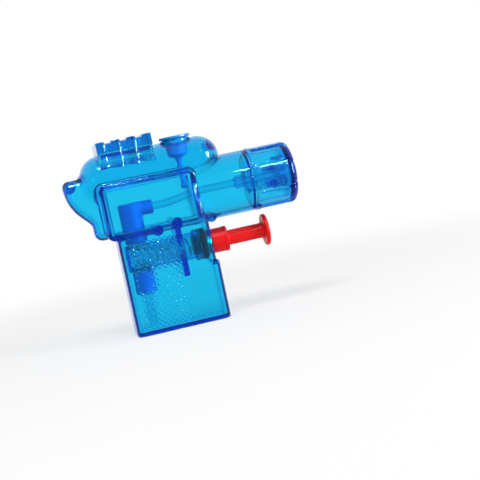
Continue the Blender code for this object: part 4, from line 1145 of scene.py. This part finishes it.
# %% Nozzle tip and washers
tip_low, tip_high = span("nozzle_tip")
seal_low, seal_high = span("cap_seal")
gasket_low, gasket_high = span("collar_gasket")
ring_low, ring_high = span("piston_seal")
TIP_BORE = 0.6
TIP_NOSE = 2.4
TIP_SLEEVE = 2.7
TIP_FLANGE = 1.0
SEAL_WIDTH = 1.2
PISTON_GROOVE_FLOOR = 2.85
flange_front_x = cap_high[0] - CAP_FRONT_WALL - GAP
flange_rear_x = flange_front_x - TIP_FLANGE
tip_outline = [
    (tip_low[0], TUBE_SOCKET),
    (tip_low[0], TIP_SLEEVE),
    (flange_rear_x, TIP_SLEEVE),
    (flange_rear_x, tip_high[1]),
    (flange_front_x, tip_high[1]),
    (flange_front_x, TIP_NOSE),
    (tip_high[0], TIP_NOSE),
    (tip_high[0], TIP_BORE),
    (flange_rear_x, TIP_BORE),
    (flange_rear_x, TUBE_SOCKET),
]
barrel_axis = (0, BARREL_Z)
turned("nozzle_tip", tip_outline, barrel_axis, "x", cap_blue, "nozzle_core", closed=True)


def ring(low, high, inner, axis=0):
    """The outline of a plain ring or tube along X or Z, as wide as its solid."""
    outer = high[1]
    return [(low[axis], inner), (low[axis], outer), (high[axis], outer), (high[axis], inner)]


trigger_axis = (0, TRIGGER_Z)
seal_outline = ring(seal_low, seal_high, NECK_RADIUS - SEAL_WIDTH)
turned("cap_seal", seal_outline, barrel_axis, "x", rubber, "nozzle_core", closed=True)
gasket_outline = ring(gasket_low, gasket_high, CYLINDER_BORE + GAP)
turned("collar_gasket", gasket_outline, trigger_axis, "x", rubber, "casing", closed=True)
ring_outline = ring(ring_low, ring_high, PISTON_GROOVE_FLOOR + GAP / 2)
turned(
    "piston_seal", ring_outline, trigger_axis, "x", rubber, "trigger", radius=0.45, closed=True
)

# %% Valve bodies, balls and suction tube
valve_low, valve_high = span("inlet_valve")
suction_low, suction_high = span("suction_tube")
SEAT_BORE = 1.2
SUCTION_BORE = 1.1
VALVE_THROAT = 1.0
BALL_RADIUS = 2.0
riser_axis = (RISER_X, 0)
seat_outline = ring(seat_low, seat_high, SEAT_BORE, axis=2)
turned("outlet_seat", seat_outline, riser_axis, "z", mid_blue, "casing", closed=True)
throat_z = suction_high[2] + GAP
valve_outline = [
    (valve_low[2], suction_high[1] + GAP),
    (valve_low[2], valve_high[1]),
    (valve_high[2], valve_high[1]),
    (valve_high[2], CHAMBER),
    (throat_z + VALVE_THROAT, CHAMBER),
    (throat_z + VALVE_THROAT, SEAT_BORE),
    (throat_z, SEAT_BORE),
    (throat_z, suction_high[1] + GAP),
]
turned("inlet_valve", valve_outline, riser_axis, "z", mid_blue, "casing", closed=True)
suction_outline = ring(suction_low, suction_high, SUCTION_BORE, axis=2)
turned("suction_tube", suction_outline, riser_axis, "z", clear_tube, "casing", closed=True)

for ball, body in (("inlet_ball", "inlet_check"), ("outlet_ball", "outlet_check")):
    ball_low, ball_high = span(ball)
    middle = (ball_low[2] + ball_high[2]) / 2
    half_circle = arc((middle, 0), BALL_RADIUS, 179.5, 0.5, 36)
    turned(ball, half_circle, riser_axis, "z", steel, body, radius=0.05, sides=48)

# %% Collar
COLLAR_BORE = 3.2
COLLAR_NECK = 4.7
COLLAR_SHOULDER = 2.0
COLLAR_LIP_HEIGHT = 0.15
COLLAR_LIP_LENGTH = 1.2
COLLAR_LIP_SLOPE = 0.3
collar_lip = COLLAR_NECK + COLLAR_LIP_HEIGHT
lip_x = collar_high[0] - COLLAR_LIP_LENGTH
shoulder_x = collar_low[0] + COLLAR_SHOULDER
collar_outline = [
    (collar_low[0], COLLAR_BORE),
    (collar_low[0], collar_high[1]),
    (shoulder_x, collar_high[1]),
    (shoulder_x, COLLAR_NECK),
    (lip_x - COLLAR_LIP_SLOPE, COLLAR_NECK),
    (lip_x, collar_lip),
    (collar_high[0], collar_lip),
    (collar_high[0], COLLAR_BORE),
]
turned("pump_collar", collar_outline, trigger_axis, "x", red, "casing", closed=True)

# %% [markdown]
# ## The trigger
#
# One red moulding is piston, shaft and push disc. The shaft has lengthwise grooves that save plastic
# and show as bright and dark lines, and the disc swells out of the shaft. That soft swelling is easiest
# as two distances blended together.

# %% Plunger
SHAFT_RADIUS = 2.9
SHAFT_GROOVE = 0.4
PISTON_RADIUS = 3.75
PISTON_LENGTH = 3.0
DISC_THICKNESS = 1.6
DISC_RIM = 1.6
DISH_DEPTH = 0.3
DISC_SWELL = 1.8
PLUNGER_CELL = 0.3
plunger_low, plunger_high = span("trigger_plunger")
disc_rear_x = plunger_high[0] - DISC_THICKNESS
piston_front_x = plunger_low[0] + PISTON_LENGTH


def plunger(x, y, z):
    off_z = z - TRIGGER_Z
    reach = np.hypot(y, off_z)
    shaft = rod(y, off_z, x, SHAFT_RADIUS, piston_front_x - 1, plunger_high[0] - DISH_DEPTH, 0.1)
    for quarter in range(4):
        angle = math.radians(45 + 90 * quarter)
        off_groove = (y - SHAFT_RADIUS * math.cos(angle), off_z - SHAFT_RADIUS * math.sin(angle))
        groove = rod(*off_groove, x, SHAFT_GROOVE, piston_front_x + 1, disc_rear_x - 2, 0.3)
        shaft = cut(shaft, groove, 0.35)
    disc = rod(y, off_z, x, plunger_high[1], disc_rear_x, plunger_high[0], 0.55)
    dish_radius, dish_x = plunger_high[1] - DISC_RIM, plunger_high[0] - DISH_DEPTH
    dish = rod(y, off_z, x, dish_radius, dish_x, plunger_high[0] + 2, 0.2)
    disc = cut(disc, dish, 0.7)
    piston = rod(y, off_z, x, PISTON_RADIUS, plunger_low[0], piston_front_x, 0.25)
    ring_groove = between(x, ring_low[0], ring_high[0]) - GAP / 2
    piston = cut(piston, np.maximum(ring_groove, PISTON_GROOVE_FLOOR - reach), 0.15)
    return join(join(shaft, disc, DISC_SWELL), piston, 0.2)


moulding("trigger_plunger", plunger, PLUNGER_CELL, red, "trigger")

# %% [markdown]
# ## Tube and spring
#
# A tinted tube climbs gently from the riser's arm to the barrel's axis and runs on to the nozzle tip,
# with a thicker coupler just behind the neck. A curve with a bevel would do, but has no bore, so it is a
# turned tube whose rings are lifted along the way. The spring is a wire wound in a helix. It is pressed
# together as the trigger goes in.

# %% Nozzle tube
TUBE_BORE = 0.9
TUBE_STEPS = 120
COUPLER_X = 23.4
COUPLER_LENGTH = 5.4
COUPLER_WALL = 0.9
COUPLER_SLOPE = 0.5
LEVEL_RUN = 3.0
tube_radius = tube_high[1]
lift_from_x = riser_high[0] + LEVEL_RUN
lift_to_x = SLAB_HIGH[0] + LEVEL_RUN
stations = np.linspace(tube_low[0], tube_high[0], TUBE_STEPS)
coupler = np.clip((COUPLER_LENGTH / 2 - np.abs(stations - COUPLER_X)) / COUPLER_SLOPE, 0, 1)
tube_outline = [(x, tube_radius + swell * COUPLER_WALL) for x, swell in zip(stations, coupler)]
tube_outline += [(x, TUBE_BORE) for x in stations[::-1]]
points, faces, normals = spin(tube_outline, (0, ARM_Z), "x", 0.2, True, 32)
climb = np.clip((points[:, 0] - lift_from_x) / (lift_to_x - lift_from_x), 0, 1)
points[:, 2] += (BARREL_Z - ARM_Z) * climb * climb * (3 - 2 * climb)
piece("nozzle_tube", points, faces, clear_tube, "casing", normals)

# %% Return spring
WIRE_RADIUS = 0.35
SPRING_RADIUS = 3.15
SPRING_TURNS = 9
CURL_POINTS = 36
WIRE_SIDES = 12
spring_low, spring_high = span("return_spring")
part = np.linspace(0, 1, SPRING_TURNS * CURL_POINTS + 1)
turn = 2 * math.pi * SPRING_TURNS * part
wire_rear, wire_front = spring_low[0] + WIRE_RADIUS, spring_high[0] - WIRE_RADIUS
rings = []
for angle in np.arange(WIRE_SIDES) * 2 * math.pi / WIRE_SIDES:
    reach = SPRING_RADIUS + WIRE_RADIUS * math.cos(angle)
    along = wire_rear + (wire_front - wire_rear) * part + WIRE_RADIUS * math.sin(angle)
    rings.append(np.stack([along, reach * np.cos(turn), TRIGGER_Z + reach * np.sin(turn)], -1))
points = np.stack(rings, axis=1).reshape(-1, 3)
faces = wrapped(len(part), WIRE_SIDES, closed=False)
spring = piece("return_spring", points, faces, steel, "casing")
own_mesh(spring)
